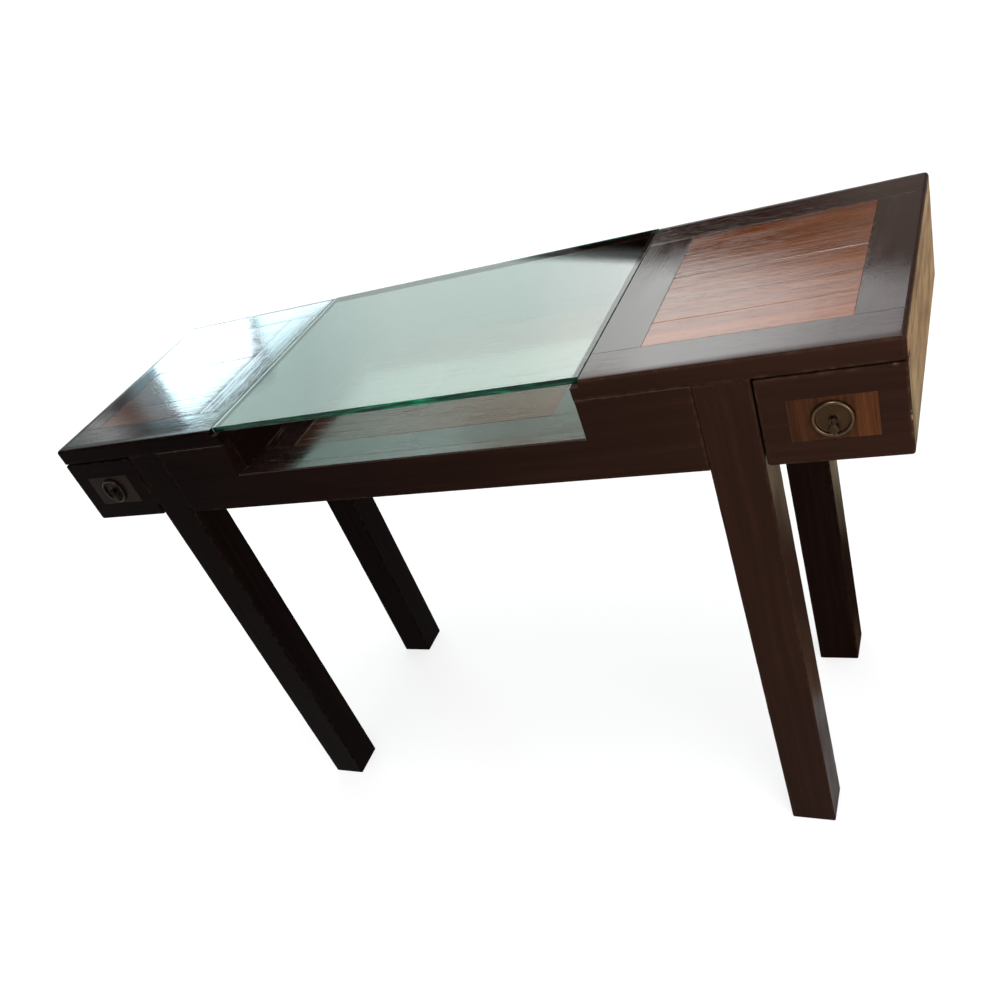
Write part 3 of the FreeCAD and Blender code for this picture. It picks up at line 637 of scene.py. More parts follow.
class Workpiece:
    """A mesh in edit mode, shaped from a primitive by modelling operators."""

    def __init__(self, item: Object, name: str) -> None:
        """Take the primitive that was just added, and open it for editing.

        Args:
            item: The primitive.
            name: Name of the finished piece.
        """
        self.item = item
        rename(item, name)
        bpy.ops.object.transform_apply(location=True, rotation=True, scale=True)
        corners = [vertex.co for vertex in item.data.vertices]
        self.low, self.high = (Vector([most(corner[axis] for corner in corners) for axis in range(3)])
                               for most in (min, max))
        bpy.ops.object.mode_set(mode="EDIT")

    @classmethod
    def block(cls, name: str, low: Vector, high: Vector) -> Workpiece:
        """Start from a cube that fills a box.

        Args:
            name: Name of the finished piece.
            low: Lowest corner.
            high: Highest corner.

        Returns:
            The workpiece.
        """
        cube = start("cube", size=1.0, location=(low + high) / 2)
        cube.scale = high - low
        return cls(cube, name)

    @classmethod
    def from_node(cls, node: str) -> Workpiece:
        """Start a board from a cube that fills its node's box."""
        return cls.block(f"{node}_board", *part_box(node))

    @classmethod
    def stepped(cls, name: str, low: Vector, high: Vector, step: float, cuts: tuple,
                is_tall: Callable) -> Workpiece:
        """Start from a box with a step in its top.

        Args:
            name: Name of the finished piece.
            low: Lowest corner.
            high: Highest corner.
            step: Height of the step.
            cuts: Where along X the height changes.
            is_tall: Whether the box reaches its full height at an X.

        Returns:
            The workpiece.
        """
        work = cls.block(name, low, Vector((high.x, high.y, step)))
        work.split(0, *cuts)
        work.draw_out(lambda face: work.lies_in(face, Side.TOP) and is_tall(face.calc_center_median().x),
                      (0, 0, high.z - step))
        work.high.z = high.z
        return work

    def pick(self, kind: str, test: Callable) -> int:
        """Select edges or faces by a test.

        Args:
            kind: "edges" or "faces".
            test: True for each one to select.

        Returns:
            How many are selected.
        """
        bpy.ops.mesh.select_mode(type="EDGE" if kind == "edges" else "FACE")
        bpy.ops.mesh.select_all(action="DESELECT")
        mesh = bmesh.from_edit_mesh(self.item.data)
        chosen = [part for part in getattr(mesh, kind) if test(part)]
        for part in chosen:
            part.select_set(True)
        bmesh.update_edit_mesh(self.item.data)
        return len(chosen)

    def lies_in(self, part: Union[BMEdge, BMFace], *sides: Side) -> bool:
        """Whether an edge or face lies in every one of these sides of the starting box."""
        planes = [(side.value[0], (self.low, self.high)[side.value[1]][side.value[0]]) for side in sides]
        return all(abs(vertex.co[axis] - level) < TOUCH for vertex in part.verts for axis, level in planes)

    def between(self, *groups: tuple) -> Callable:
        """Test for the edges where all the sides of one of these groups meet."""
        return lambda edge: any(self.lies_in(edge, *sides) for sides in groups)

    def split(self, axis: int, *levels: float) -> None:
        """Cut the whole mesh at planes across an axis, without parting it.

        Args:
            axis: The axis.
            *levels: Places of the planes along it.
        """
        for level in levels:
            place, direction = Vector((0, 0, 0)), Vector((0, 0, 0))
            place[axis], direction[axis] = level, 1.0
            bpy.ops.mesh.select_all(action="SELECT")
            bpy.ops.mesh.bisect(plane_co=place, plane_no=direction)

    def draw_out(self, test: Callable, move: tuple[float, float, float]) -> None:
        """Extrude the faces that pass a test."""
        self.pick("faces", test)
        bpy.ops.mesh.extrude_region_move(TRANSFORM_OT_translate={"value": move})

    def lengthen_cuts(self, axis: int, step: float) -> None:
        """Divide the edges that run along an axis, so that their arrises can be rubbed unevenly.

        Args:
            axis: The axis.
            step: Distance between the cuts.
        """
        cuts = max(1, round((self.high[axis] - self.low[axis]) / step))
        self.pick("edges", lambda edge: abs((edge.verts[0].co - edge.verts[1].co).normalized()[axis]) > 0.99)
        bpy.ops.mesh.subdivide(number_cuts=cuts)

    def soften(self, test: Callable, radius: float, segments: int = 4, rubbed: float = 0.0) -> None:
        """Round the edges that pass a test.

        Args:
            test: True for each edge to round.
            radius: Radius of the arris.
            segments: Faces round the arris.
            rubbed: How far wear wanders in and out along the arris.
        """
        if not self.pick("edges", test):
            raise ValueError(f"{self.item.name}: no edge to soften")
        bpy.ops.mesh.bevel(offset=radius, segments=segments, profile=0.5, affect="EDGES", clamp_overlap=True)
        if rubbed:
            bpy.ops.mesh.select_less()
            bpy.ops.object.vertex_group_assign_new()
            bpy.ops.object.mode_set(mode="OBJECT")
            wear = self.item.modifiers.new("rubbed_arris", "DISPLACE")
            wear.texture = wear_texture()
            wear.texture_coords = "LOCAL"
            wear.vertex_group = self.item.vertex_groups[-1].name
            wear.strength = rubbed
            wear.mid_level = 0.5
            bpy.ops.object.modifier_apply(modifier=wear.name)
            self.item.vertex_groups.clear()
            bpy.ops.object.mode_set(mode="EDIT")

    def ease(self, radius: float) -> None:
        """Break every edge that is still sharp.

        Args:
            radius: Radius of the broken edge.
        """
        bpy.ops.mesh.select_mode(type="EDGE")
        bpy.ops.mesh.select_all(action="DESELECT")
        bpy.ops.mesh.edges_select_sharp(sharpness=math.radians(SHARP))
        bpy.ops.mesh.bevel(offset=radius, segments=2, profile=0.5, affect="EDGES", clamp_overlap=True)

    def done(self, smooth_angle: float = 40.0) -> Object:
        """Close the mesh, shade it and weight its normals by face, so that flats stay flat.

        Args:
            smooth_angle: Edges flatter than this many degrees are shaded smooth.

        Returns:
            The finished object.
        """
        bpy.ops.mesh.select_all(action="SELECT")
        bpy.ops.mesh.remove_doubles(threshold=TOUCH / 10)
        bpy.ops.mesh.normals_make_consistent(inside=False)
        bpy.ops.object.mode_set(mode="OBJECT")
        bpy.ops.object.shade_smooth_by_angle(angle=math.radians(smooth_angle))
        weigh = self.item.modifiers.new("flat_faces", "WEIGHTED_NORMAL")
        weigh.keep_sharp = True
        bpy.ops.object.modifier_apply(modifier=weigh.name)
        return self.item


def wear_texture() -> Texture:
    """Find or make the cloud pattern that wear along an arris follows.

    Returns:
        The pattern.
    """
    texture = bpy.data.textures.get("arris_wear")
    if texture is None:
        texture = bpy.data.textures.new("arris_wear", "CLOUDS")
        texture.noise_scale = ARRIS_WEAR
    return texture


def copy_piece(item: Object, name: str, move: Vector) -> Object:
    """Copy a modelled piece to another place, with a mesh of its own.

    Args:
        item: The piece.
        name: Name of the copy.
        move: Way from the piece to its copy.

    Returns:
        The copy.
    """
    select(item)
    bpy.ops.object.duplicate(linked=False)
    copy = bpy.context.object
    rename(copy, name)
    copy.location = move
    bpy.ops.object.transform_apply(location=True, rotation=False, scale=False)
    return copy


def join_pieces(pieces: list, name: str) -> Object:
    """Join pieces that lie side by side into one object.

    Args:
        pieces: The pieces.
        name: Name of the whole.

    Returns:
        The whole.
    """
    select(*pieces)
    bpy.ops.object.join()
    whole = bpy.context.object
    rename(whole, name)
    return whole


def mark_board(item: Object, low: Vector, high: Vector, grain: Grain, tone: float, wear: float,
               fade: float = 0.0) -> None:
    """Give a board the attributes that its wood reads.

    Args:
        item: The board.
        low: Its lowest corner.
        high: Its highest corner.
        grain: Its fibre axis.
        tone: How far its colour leans to the finish's warm tone, 0 to 1; the left end, the back boards and
            the deck get low tones as painted shade.
        wear: How far its arrises are worn, 0 to 1.
        fade: What the tone gains from the board's left end to its right, a painted shade gradient.
    """
    mesh = item.data
    middle = (low + high) / 2
    half = [(high[axis] - low[axis]) / 2 for axis in grain.value]
    seed = zlib.crc32(item.name.encode()) % SEED_COUNT / SEEDS_PER_UNIT
    local = [(vertex.co - middle)[axis] for vertex in mesh.vertices for axis in grain.value]
    marks = []
    for vertex in mesh.vertices:
        marks += [seed, tone + fade * (vertex.co.x - low.x) / (high.x - low.x), wear]
    for name, values in (("local", local), ("half", half * len(mesh.vertices)), ("mark", marks)):
        layer = mesh.attributes.new(name, "FLOAT_VECTOR", "POINT")
        layer.data.foreach_set("vector", values)


class Workshop:
    """Finishes shared by the sub-assemblies, and the last steps that every piece goes through."""

    board_step = 12 * MM
    board_rubbed = 0.5 * MM
    board_eased = 0.45 * MM

    def __init__(self) -> None:
        """Make each finish once."""
        self.coats = {coat: wood.make() for coat, wood in zip(Coat, (DARK_WAX, DARK_LACQUER, DARK_POLISH))}
        self.planks = {Coat.LACQUER: RED_LACQUER.make(), Coat.POLISH: RED_POLISH.make()}
        self.inlay = INLAY_STRIPS.make()
        self.plain = {grain: PLAIN_WOOD.make(grain) for grain in Grain}
        self.brass = {End.LEFT: LEFT_BRASS.make(), End.RIGHT: RIGHT_BRASS.make()}
        self.glass = FloatGlass().make()
        self.glass_edge = GlassEdge().make()
        bodies = frame["record"]["behaviour"]["bodies"]
        self.body_of = {node: body for body, nodes in bodies.items() for node in nodes}

    def hand_over(self, item: Object, node: str, slot: Slot, *finishes: Material) -> None:
        """Finish a piece and let it stand for its node.

        Args:
            item: The piece.
            node: Node that it replaces.
            slot: Record's slot for its finish; not used.
            *finishes: Its materials, in slot order.
        """
        item.data.materials.clear()
        for finish in finishes:
            item.data.materials.append(finish)
        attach(item, self.body_of[node])
        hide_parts(node)
        LOG.info("%s: %d faces, rides on %s", item.name, len(item.data.polygons), self.body_of[node])

    def repeat(self, first: Object, nodes: list) -> list:
        """Copy a piece that was modelled on the first of some like nodes to the places of the others.

        Args:
            first: The modelled piece.
            nodes: Nodes of the piece and of its copies.

        Returns:
            Each node, with its piece and the way from the first piece to it.
        """
        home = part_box(nodes[0])[0]
        pieces = [(nodes[0], first, Vector((0, 0, 0)))]
        for node in nodes[1:]:
            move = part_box(node)[0] - home
            pieces.append((node, copy_piece(first, first.name.replace(nodes[0], node), move), move))
        return pieces

    def issue(self, work: Workpiece, looks: dict, grain: Grain, coat: Coat = Coat.WAX,
              fade: float = 0.0) -> None:
        """Finish a shaped dark board, and copy it for the nodes that are like it.

        Args:
            work: Board of the first node.
            looks: Each node, with its board's lean to the warm tone and its wear.
            grain: Fibre axis.
            coat: Coat of the faces that look up.
            fade: What the tone gains from the board's left end to its right, a painted shade gradient.
        """
        finishes = [self.coats[kind] for kind in dict.fromkeys((Coat.WAX, coat))]
        for node, item, move in self.repeat(work.done(), list(looks)):
            mark_board(item, work.low + move, work.high + move, grain, *looks[node], fade)
            self.hand_over(item, node, Slot.DARK, *finishes)
            for face in item.data.polygons:
                face.material_index = int(face.normal.z > coat.value)

    def boards(self, looks: dict, grain: Grain, rounded: tuple = (), radius: float = 0.0,
               coat: Coat = Coat.WAX) -> None:
        """Make a straight dark board from its node's box, and copy it for the nodes that are like it.

        Args:
            looks: Each node, with its board's lean to the warm tone and its wear.
            grain: Fibre axis.
            rounded: Sides whose shared edges are rounded, as groups of one or more sides.
            radius: Radius of those edges.
            coat: Coat of the faces that look up.
        """
        work = Workpiece.from_node(next(iter(looks)))
        self.round_board(work, grain, rounded, radius)
        self.issue(work, looks, grain, coat)

    def round_board(self, work: Workpiece, grain: Grain, rounded: tuple, radius: float) -> None:
        """Round a board's chosen edges, rub them a little uneven, and break the rest.

        Args:
            work: The board.
            grain: Its fibre axis.
            rounded: Sides whose shared edges are rounded, as groups of one or more sides.
            radius: Radius of those edges.
        """
        if rounded:
            work.lengthen_cuts(grain.value[0], self.board_step)
            work.soften(work.between(*rounded), radius, rubbed=self.board_rubbed)
        work.ease(self.board_eased)

    def dress(self, node: str, finish: Material) -> None:
        """Give a node that keeps its own shape its finish.

        Args:
            node: The node.
            finish: Its material.
        """
        for slot in frame["nodes"][node].material_slots:
            slot.material = finish
        LOG.info("%s: dressed in %s", node, finish.name)


@dataclass
class Carcase:
    """Legs, aprons, rails, recess walls and the outer boards of the drawer bays."""

    shop: Workshop
    arris: float = 2.5 * MM
    eased: float = 0.4 * MM
    foot: float = 4.0 * MM
    leg_step: float = 14 * MM
    leg_rubbed: float = 0.7 * MM
    apron_step: float = 40 * MM
    apron_rubbed: float = 0.6 * MM
    apron_foot: float = 1.2 * MM
    back_eased: float = 0.6 * MM
    # painted shade: share of the warm tone that the back legs and the back apron keep, so they are painted
    # darker
    shade: float = 0.25
    leg_wear: float = 0.3
    panel_wear: float = 0.2
    end_wear: float = 0.5
    apron_wear: float = 0.45

    def build(self) -> None:
        """Make every board of the carcase."""
        self.build_legs()
        self.build_panels()
        self.build_front_apron()
        self.build_back_apron()
        self.shop.dress("corner_blocks", self.shop.plain[Grain.Z])

    def build_legs(self) -> None:
        """Make one leg, with an eased foot, and copy it to the other corners."""
        # painted shade: back legs keep only the shade share of their end's warm tone
        looks = {f"leg_{place}_{end.word}": (end.stain * share, self.leg_wear)
                 for end in End for place, share in (("front", 1.0), ("back", self.shade))}
        work = Workpiece.from_node(next(iter(looks)))
        work.lengthen_cuts(2, self.leg_step)
        corners = product((Side.LEFT, Side.RIGHT), (Side.FRONT, Side.BACK))
        work.soften(work.between(*corners), self.arris, rubbed=self.leg_rubbed)
        work.soften(work.between((Side.BOTTOM,)), self.foot)
        work.ease(self.eased)
        self.shop.issue(work, looks, Grain.Z)

    def build_panels(self) -> None:
        """Make the rails, recess walls, backs and end panels of both ends."""
        for part, grain in (("side_rail", Grain.Y), ("recess_wall", Grain.Y), ("case_back", Grain.X)):
            self.shop.boards({f"{part}_{end.word}": (end.stain, self.panel_wear) for end in End}, grain)
        for end in End:
            look = (end.stain, self.end_wear * end.wear)
            rounded = ((end.outside, Side.BOTTOM), (end.outside, Side.BACK))
            self.shop.boards({f"end_panel_{end.word}": look}, Grain.Y, rounded, self.arris)

    def apron(self, node: str, step: float, is_tall: Callable) -> Workpiece:
        """Start an apron without its tenons, with a step at each side of the recess.

        Args:
            node: Node of the apron.
            step: Height of the step.
            is_tall: Whether the apron has its full height at an X, given half the recess.

        Returns:
            The workpiece.
        """
        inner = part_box("leg_front_right")[0].x
        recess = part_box("recess_wall_right")[0].x
        low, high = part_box(node)
        low.x, high.x = -inner, inner
        return Workpiece.stepped(f"{node}_board", low, high, step, (-recess, recess),
                                 lambda x: is_tall(x, recess))

    def build_front_apron(self) -> None:
        """Make the front apron, cut down in the middle for the open recess."""
        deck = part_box("deck_front_rail")[1].z
        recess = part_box("recess_wall_right")[0].x
        work = self.apron("front_apron", deck, lambda x, half: abs(x) > half)
        work.lengthen_cuts(0, self.apron_step)

        def is_mouth(edge: BMEdge) -> bool:
            """Whether an edge is on the front of the cut-out."""
            return work.lies_in(edge, Side.FRONT) and all(
                vertex.co.z > deck - TOUCH and abs(vertex.co.x) < recess + TOUCH for vertex in edge.verts)

        work.soften(is_mouth, self.arris, rubbed=self.apron_rubbed)
        work.soften(work.between((Side.FRONT, Side.BOTTOM)), self.apron_foot, 3)
        work.ease(self.eased)
        # painted shade: the apron is painted near black at its left end and lifts to the right end's warm
        # brown
        look = (End.LEFT.stain, self.apron_wear)
        self.shop.issue(work, {"front_apron": look}, Grain.X, Coat.POLISH, End.RIGHT.stain - End.LEFT.stain)

    def build_back_apron(self) -> None:
        """Make the back apron, raised in the middle under the glass."""
        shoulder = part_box("leg_back_right")[1].z
        work = self.apron("back_apron", shoulder, lambda x, half: abs(x) < half)
        work.ease(self.back_eased)
        # painted shade: the back apron is painted dark with the shade share
        self.shop.issue(work, {"back_apron": (self.shade, self.leg_wear)}, Grain.X)


@dataclass
class StripPanel:
    """Upright strips side by side that fill a node's box, and like panels that are copied from the first.

    The tones are each node's leans to the warm tone, strip by strip, and gain the fade from left to right;
    low tones and the fade are painted shade.
    The last strip takes the width that is left. Strips lie a little below the face, every other one deeper.
    """

    shop: Workshop
    tones: dict
    widths: tuple
    sink: float
    finish: Material
    fade: float = 0.0
    word: str = "strip"
    whole: str = "strips"
    slot: Slot = Slot.INLAY
    axis: int = 0
    face: Side = Side.FRONT
    grain: Grain = Grain.Z
    wear: float = 0.3
    arris: float = 0.3 * MM

    def shape(self, work: Workpiece) -> None:
        """Break the edges of a strip's face."""
        work.soften(work.between((self.face,)), self.arris, 2)

    def build(self) -> None:
        """Make each strip, copy it, and join each panel's strips to one piece."""
        nodes = list(self.tones)
        low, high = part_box(nodes[0])
        deep, end = self.face.value
        edges = [low[self.axis]]
        for width in self.widths:
            edges.append(edges[-1] + width)
        edges.append(high[self.axis])
        panels = {node: [] for node in nodes}
        for index, limits in enumerate(zip(edges, edges[1:])):
            corners = (low.copy(), high.copy())
            for corner, limit in zip(corners, limits):
                corner[self.axis] = limit
            corners[end][deep] += self.sink * (1 + index % 2) * (1 - 2 * end)
            work = Workpiece.block(f"{nodes[0]}_{self.word}_{index}", *corners)
            self.shape(work)
            for node, item, move in self.shop.repeat(work.done(), nodes):
                mark_board(item, work.low + move, work.high + move, self.grain, self.tones[node][index],
                           self.wear, self.fade)
                panels[node].append(item)
        for node, strips in panels.items():
            self.shop.hand_over(join_pieces(strips, f"{node}_{self.whole}"), node, self.slot, self.finish)


@dataclass
class PlankPanel(StripPanel):
    """Red planks laid from front to back, with rubbed long edges."""

    word: str = "panel"
    whole: str = "panel"
    slot: Slot = Slot.PLANK
    axis: int = 1
    face: Side = Side.TOP
    grain: Grain = Grain.X
    wear: float = 0.15
    arris: float = 0.9 * MM
    step: float = 16 * MM
    rubbed: float = 0.5 * MM
    eased: float = 0.4 * MM

    def shape(self, work: Workpiece) -> None:
        """Rub the long edges of a plank's face, and break the rest.

        Args:
            work: The plank.
        """
        work.lengthen_cuts(0, self.step)
        long_edges = work.between((self.face, Side.FRONT), (self.face, Side.BACK))
        work.soften(long_edges, self.arris, rubbed=self.rubbed)
        work.ease(self.eased)


@dataclass
class EndTops:
    """Framed end tops: a dark border round red planks, rebated for the glass."""

    shop: Workshop
    arris: float = 5.0 * MM
    wear: float = 0.5
    glass_gap: float = 1 * MM
    plank_widths: tuple = (52 * MM, 110 * MM)
    plank_tones: tuple = (1.0, 0.72, 0.5)
    plank_sink: float = 0.12 * MM
    # painted shade: the left end's planks keep only this share of their warm tones
    left_lit_share: float = 0.1

    def build(self) -> None:
        """Make the rails and stiles of each end, and the planks of both."""
        for end in End:
            look = (end.stain, self.wear * end.wear)
            for place, face in (("front", Side.FRONT), ("back", Side.BACK)):
                rounded = ((face, Side.TOP), (end.outside, Side.TOP), (end.outside, face))
                self.build_rebated(f"{end.word}_top_{place}_rail", end, look, Grain.X, rounded)
            self.build_rebated(f"{end.word}_top_inner_stile", end, look, Grain.Y, ())
            self.shop.boards({f"{end.word}_top_outer_stile": look}, Grain.Y, ((end.outside, Side.TOP),),
                             self.arris, Coat.LACQUER)
        tones = {f"{end.word}_top_planks": [tone * share for tone in self.plank_tones]
                 for end, share in zip(End, (self.left_lit_share, 1.0))}
        finish = self.shop.planks[Coat.LACQUER]
        PlankPanel(self.shop, tones, self.plank_widths, self.plank_sink, finish).build()

    def build_rebated(self, node: str, end: End, look: tuple, grain: Grain, rounded: tuple) -> None:
        """Make a top member whose inner end is cut down to a lip for the glass.

        Args:
            node: Node of the member.
            end: End of the table that it belongs to.
            look: Its lean to the warm tone and its wear.
            grain: Its fibre axis.
            rounded: Sides whose shared edges are rounded.
        """
        glass_low, glass_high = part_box("glass_top")
        lip = glass_high.x + self.glass_gap
        work = Workpiece.stepped(f"{node}_board", *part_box(node), glass_low.z, (end.sign * lip,),
                                 lambda x: abs(x) > lip)
        self.shop.round_board(work, grain, rounded, self.arris)
        self.shop.issue(work, {node: look}, grain, Coat.LACQUER)


@dataclass
class DisplayDeck:
    """Dropped deck of the recess: a dark border round three red planks, on two bearers."""

    shop: Workshop
    # painted shade: the deck in the recess takes the lowest tones, and its planks are painted darkest at the
    # left
    look: tuple = (0.0, 0.3)
    plank_widths: tuple = (84 * MM, 96 * MM)
    plank_tones: tuple = (0.0, 0.0, 0.02)
    plank_shade_fade: float = 0.18
    plank_sink: float = 0.1 * MM

    def build(self) -> None:
        """Make border and planks, and dress the bearers."""
        for node in ("deck_front_rail", "deck_back_rail"):
            self.shop.boards({node: self.look}, Grain.X, coat=Coat.POLISH)
        self.shop.boards({f"deck_{end.word}_stile": self.look for end in End}, Grain.Y, coat=Coat.POLISH)
        PlankPanel(self.shop, {"deck_planks": self.plank_tones}, self.plank_widths, self.plank_sink,
                   self.shop.planks[Coat.POLISH], self.plank_shade_fade).build()
        self.shop.dress("deck_bearers", self.shop.plain[Grain.Y])


@dataclass
class Drawers:
    """Drawers with dark fronts that hold an inlay of upright strips."""

    shop: Workshop
    arris: float = 2.5 * MM
    corner: float = 3.5 * MM
    eased: float = 0.3 * MM
    wear: float = 0.7
    seat: float = 3.0 * MM
    strip_widths: tuple = (22 * MM, 42 * MM)
    strip_tones: tuple = (0.52, 0.50, 0.96)
    strip_sink: float = 0.15 * MM
    # painted shade: the left drawer's inlay keeps only this share of its warm tones
    left_lit_share: float = 0.08

    def build(self) -> None:
        """Make fronts and inlays, and dress the drawers' boxes."""
        self.build_fronts()
        tones = {f"drawer_inlay_{end.word}": [tone * share for tone in self.strip_tones]
                 for end, share in zip(End, (self.left_lit_share, 1.0))}
        StripPanel(self.shop, tones, self.strip_widths, self.strip_sink, self.shop.inlay).build()
        parts = (("inner_side", Grain.Y), ("outer_side", Grain.Y), ("back", Grain.X), ("bottom", Grain.X),
                 ("runners", Grain.Y))
        for end in End:
            for part, grain in parts:
                self.shop.dress(f"drawer_{part}_{end.word}", self.shop.plain[grain])

    def build_fronts(self) -> None:
        """Make a front with rounded corners and a shallow seat for the inlay, and copy it."""
        looks = {f"drawer_front_{end.word}": (end.stain, self.wear * end.wear) for end in End}
        seat_low, seat_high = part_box("drawer_inlay_left")
        work = Workpiece.from_node(next(iter(looks)))
        work.split(0, seat_low.x, seat_high.x)
        work.split(2, seat_low.z, seat_high.z)

        def within(place: Vector, margin: float) -> bool:
            """Whether a place on the front is in the inlay's seat."""
            return all(seat_low[axis] - margin < place[axis] < seat_high[axis] + margin for axis in (0, 2))

        def is_seat(face: BMFace) -> bool:
            """Whether a face is the inlay's seat."""
            return work.lies_in(face, Side.FRONT) and within(face.calc_center_median(), 0.0)

        def is_front_arris(edge: BMEdge) -> bool:
            """Whether an edge is on the outline of the front face."""
            return (work.lies_in(edge, Side.FRONT) and edge.calc_face_angle(0.0) > 1.0
                    and not all(within(vertex.co, TOUCH) for vertex in edge.verts))

        work.draw_out(is_seat, (0, self.seat, 0))
        corners = product((Side.LEFT, Side.RIGHT), (Side.BOTTOM, Side.TOP))
        work.soften(work.between(*corners), self.corner, 5)
        work.soften(is_front_arris, self.arris)
        work.ease(self.eased)
        self.shop.issue(work, looks, Grain.X)


@dataclass
class DropPulls:
    """Round brass plates with a bead rim, each with a forked post and a teardrop that hangs from it."""

    shop: Workshop
    plate_radius: float = 21.0 * MM
    plate_sides: int = 96
    plate_thick: float = 1.2 * MM
    rim_foot: float = 0.3 * MM
    rim_width: float = 4.4 * MM
    rim_height: float = 4.0 * MM
    rim_steps: int = 14
    rim_fullness: float = 0.8
    boss_radius: float = 6.2 * MM
    boss_rise: float = 0.5 * MM
    bore_radius: float = 2.6 * MM
    eye_radius: float = 2.4 * MM
    eye_thick: float = 2.0 * MM
    eye_sides: tuple = (36, 16)
    bar_radius: float = 1.05 * MM
    drop_centre: float = 10.6 * MM
    drop_radius: float = 5.4 * MM
    drop_thick: float = 4.4 * MM
    drop_sides: int = 40
    neck_share: float = 0.28
    neck_rise: float = 1.2 * MM
    neck_taper: float = 1.3
    neck_reach: float = 1.15
    ring_count: int = 10
    smooth_angle: float = 50.0
    ring_angle: float = 60.0

    def build(self) -> None:
        """Make plate and drop once and copy them, and dress posts and nuts."""
        for part, piece in (("pull_plate", self.turn_plate), ("pull_drop", self.cast_drop)):
            nodes = at_ends(part)
            for end, (node, item, _) in zip(End, self.shop.repeat(piece(nodes[0]), nodes)):
                self.shop.hand_over(item, node, Slot.BRASS, self.shop.brass[end])
        for part in ("pull_post", "pull_nut"):
            for end, node in zip(End, at_ends(part)):
                self.shop.dress(node, self.shop.brass[end])

    def plate_profile(self) -> list:
        """Work out the plate's turned profile, from the rim inwards.

        Returns:
            Radius and height of each ring: the bead, the dish with its soft shoulder, and the boss.
        """
        half = self.rim_width / 2
        profile = []
        for step in range(1, self.rim_steps + 1):
            turn = math.pi * step / self.rim_steps
            foot = self.rim_foot if step < self.rim_steps / 2 else self.plate_thick
            profile.append((self.plate_radius - half + half * math.cos(turn),
                            foot + (self.rim_height - foot) * math.sin(turn) ** self.rim_fullness))
        dish = self.plate_radius - self.rim_width
        rings = ((dish - 1.2 * MM, -0.35 * MM), (dish - 2.4 * MM, -0.45 * MM),
                 (self.boss_radius + 0.6 * MM, -0.1 * MM), (self.boss_radius, self.boss_rise * 0.7),
                 (self.boss_radius - 0.8 * MM, self.boss_rise), (self.bore_radius, self.boss_rise))
        return profile + [(radius, self.plate_thick + rise) for radius, rise in rings]

    def turn_plate(self, node: str) -> Object:
        """Turn a plate: a disc whose face is stepped inwards, ring by ring, through bead, dish and boss.

        Args:
            node: Node of the plate.

        Returns:
            The finished plate.
        """
        low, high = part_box(node)
        middle = (low + high) / 2
        disc = start("cylinder", vertices=self.plate_sides, radius=self.plate_radius, depth=self.rim_foot,
                     location=(middle.x, high.y - self.rim_foot / 2, middle.z), rotation=(math.pi / 2, 0, 0))
        work = Workpiece(disc, f"{node}_turned")
        work.pick("faces", lambda face: work.lies_in(face, Side.FRONT))
        radius, level = self.plate_radius, self.rim_foot
        for next_radius, next_level in self.plate_profile():
            bpy.ops.mesh.inset(thickness=radius - next_radius, depth=0.0)
            bpy.ops.transform.translate(value=(0, level - next_level, 0))
            radius, level = next_radius, next_level
        return work.done(self.smooth_angle)

    def drop_rings(self, centre: float, neck: float) -> list:
        """Work out the teardrop's rings: half a ball below, then a neck that narrows in width.

        Args:
            centre: Height of the ball's middle.
            neck: Height of the neck's end.

        Returns:
            Height, half width and half thickness of each ring, from the bottom.
        """
        rings = []
        for step in range(1, self.ring_count + 1):
            turn = math.pi / 2 * step / self.ring_count
            rings.append((centre - self.drop_radius * math.cos(turn), math.sin(turn), math.sin(turn)))
        for step in range(1, self.ring_count):
            share = step / self.ring_count
            thick = math.sqrt(1 - share ** 2)
            wide = thick * (1 - (1 - self.neck_share) * share ** self.neck_taper)
            rings.append((centre + (neck - centre) * share ** self.neck_reach, wide, thick))
        return [(level, wide * self.drop_radius, thick * self.drop_thick / 2) for level, wide, thick in rings]

    def cast_drop(self, node: str) -> Object:
        """Make a teardrop: a disc drawn up ring by ring, joined to an eye bored for the cross bar.

        Args:
            node: Node of the drop.

        Returns:
            The finished drop.
        """
        low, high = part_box(node)
        middle = (low + high) / 2
        pivot_z = high.z - self.eye_radius
        rings = self.drop_rings(pivot_z - self.drop_centre, pivot_z - self.neck_rise)
        level, wide, thick = rings[0]
        disc = start("circle", vertices=self.drop_sides, radius=1.0, fill_type="NGON",
                     location=(middle.x, middle.y, level))
        disc.scale = (wide, thick, 1.0)
        work = Workpiece(disc, f"{node}_cast")
        work.pick("faces", lambda face: True)
        for next_level, next_wide, next_thick in rings[1:]:
            bpy.ops.mesh.extrude_region_move(TRANSFORM_OT_translate={"value": (0, 0, next_level - level)})
            bpy.ops.transform.resize(value=(next_wide / wide, next_thick / thick, 1.0),
                                     center_override=(middle.x, middle.y, next_level))
            level, wide, thick = next_level, next_wide, next_thick
        drop = work.done(self.ring_angle)
        ring = self.eye_radius - self.bar_radius
        turns, rounds = self.eye_sides
        torus = start("torus", major_segments=turns, minor_segments=rounds, minor_radius=ring / 2,
                      major_radius=(self.eye_radius + self.bar_radius) / 2,
                      location=(middle.x, middle.y, pivot_z), rotation=(0, math.pi / 2, 0))
        torus.scale.z = self.eye_thick / ring
        eye = Workpiece(torus, f"{node}_eye").done(self.ring_angle)
        select(drop)
        weld = drop.modifiers.new("weld_eye", "BOOLEAN")
        weld.operation = "UNION"
        weld.solver = "EXACT"
        weld.object = eye
        bpy.ops.object.modifier_apply(modifier=weld.name)
        bpy.data.objects.remove(eye)
        bpy.ops.object.shade_smooth_by_angle(angle=math.radians(self.smooth_angle))
        return drop


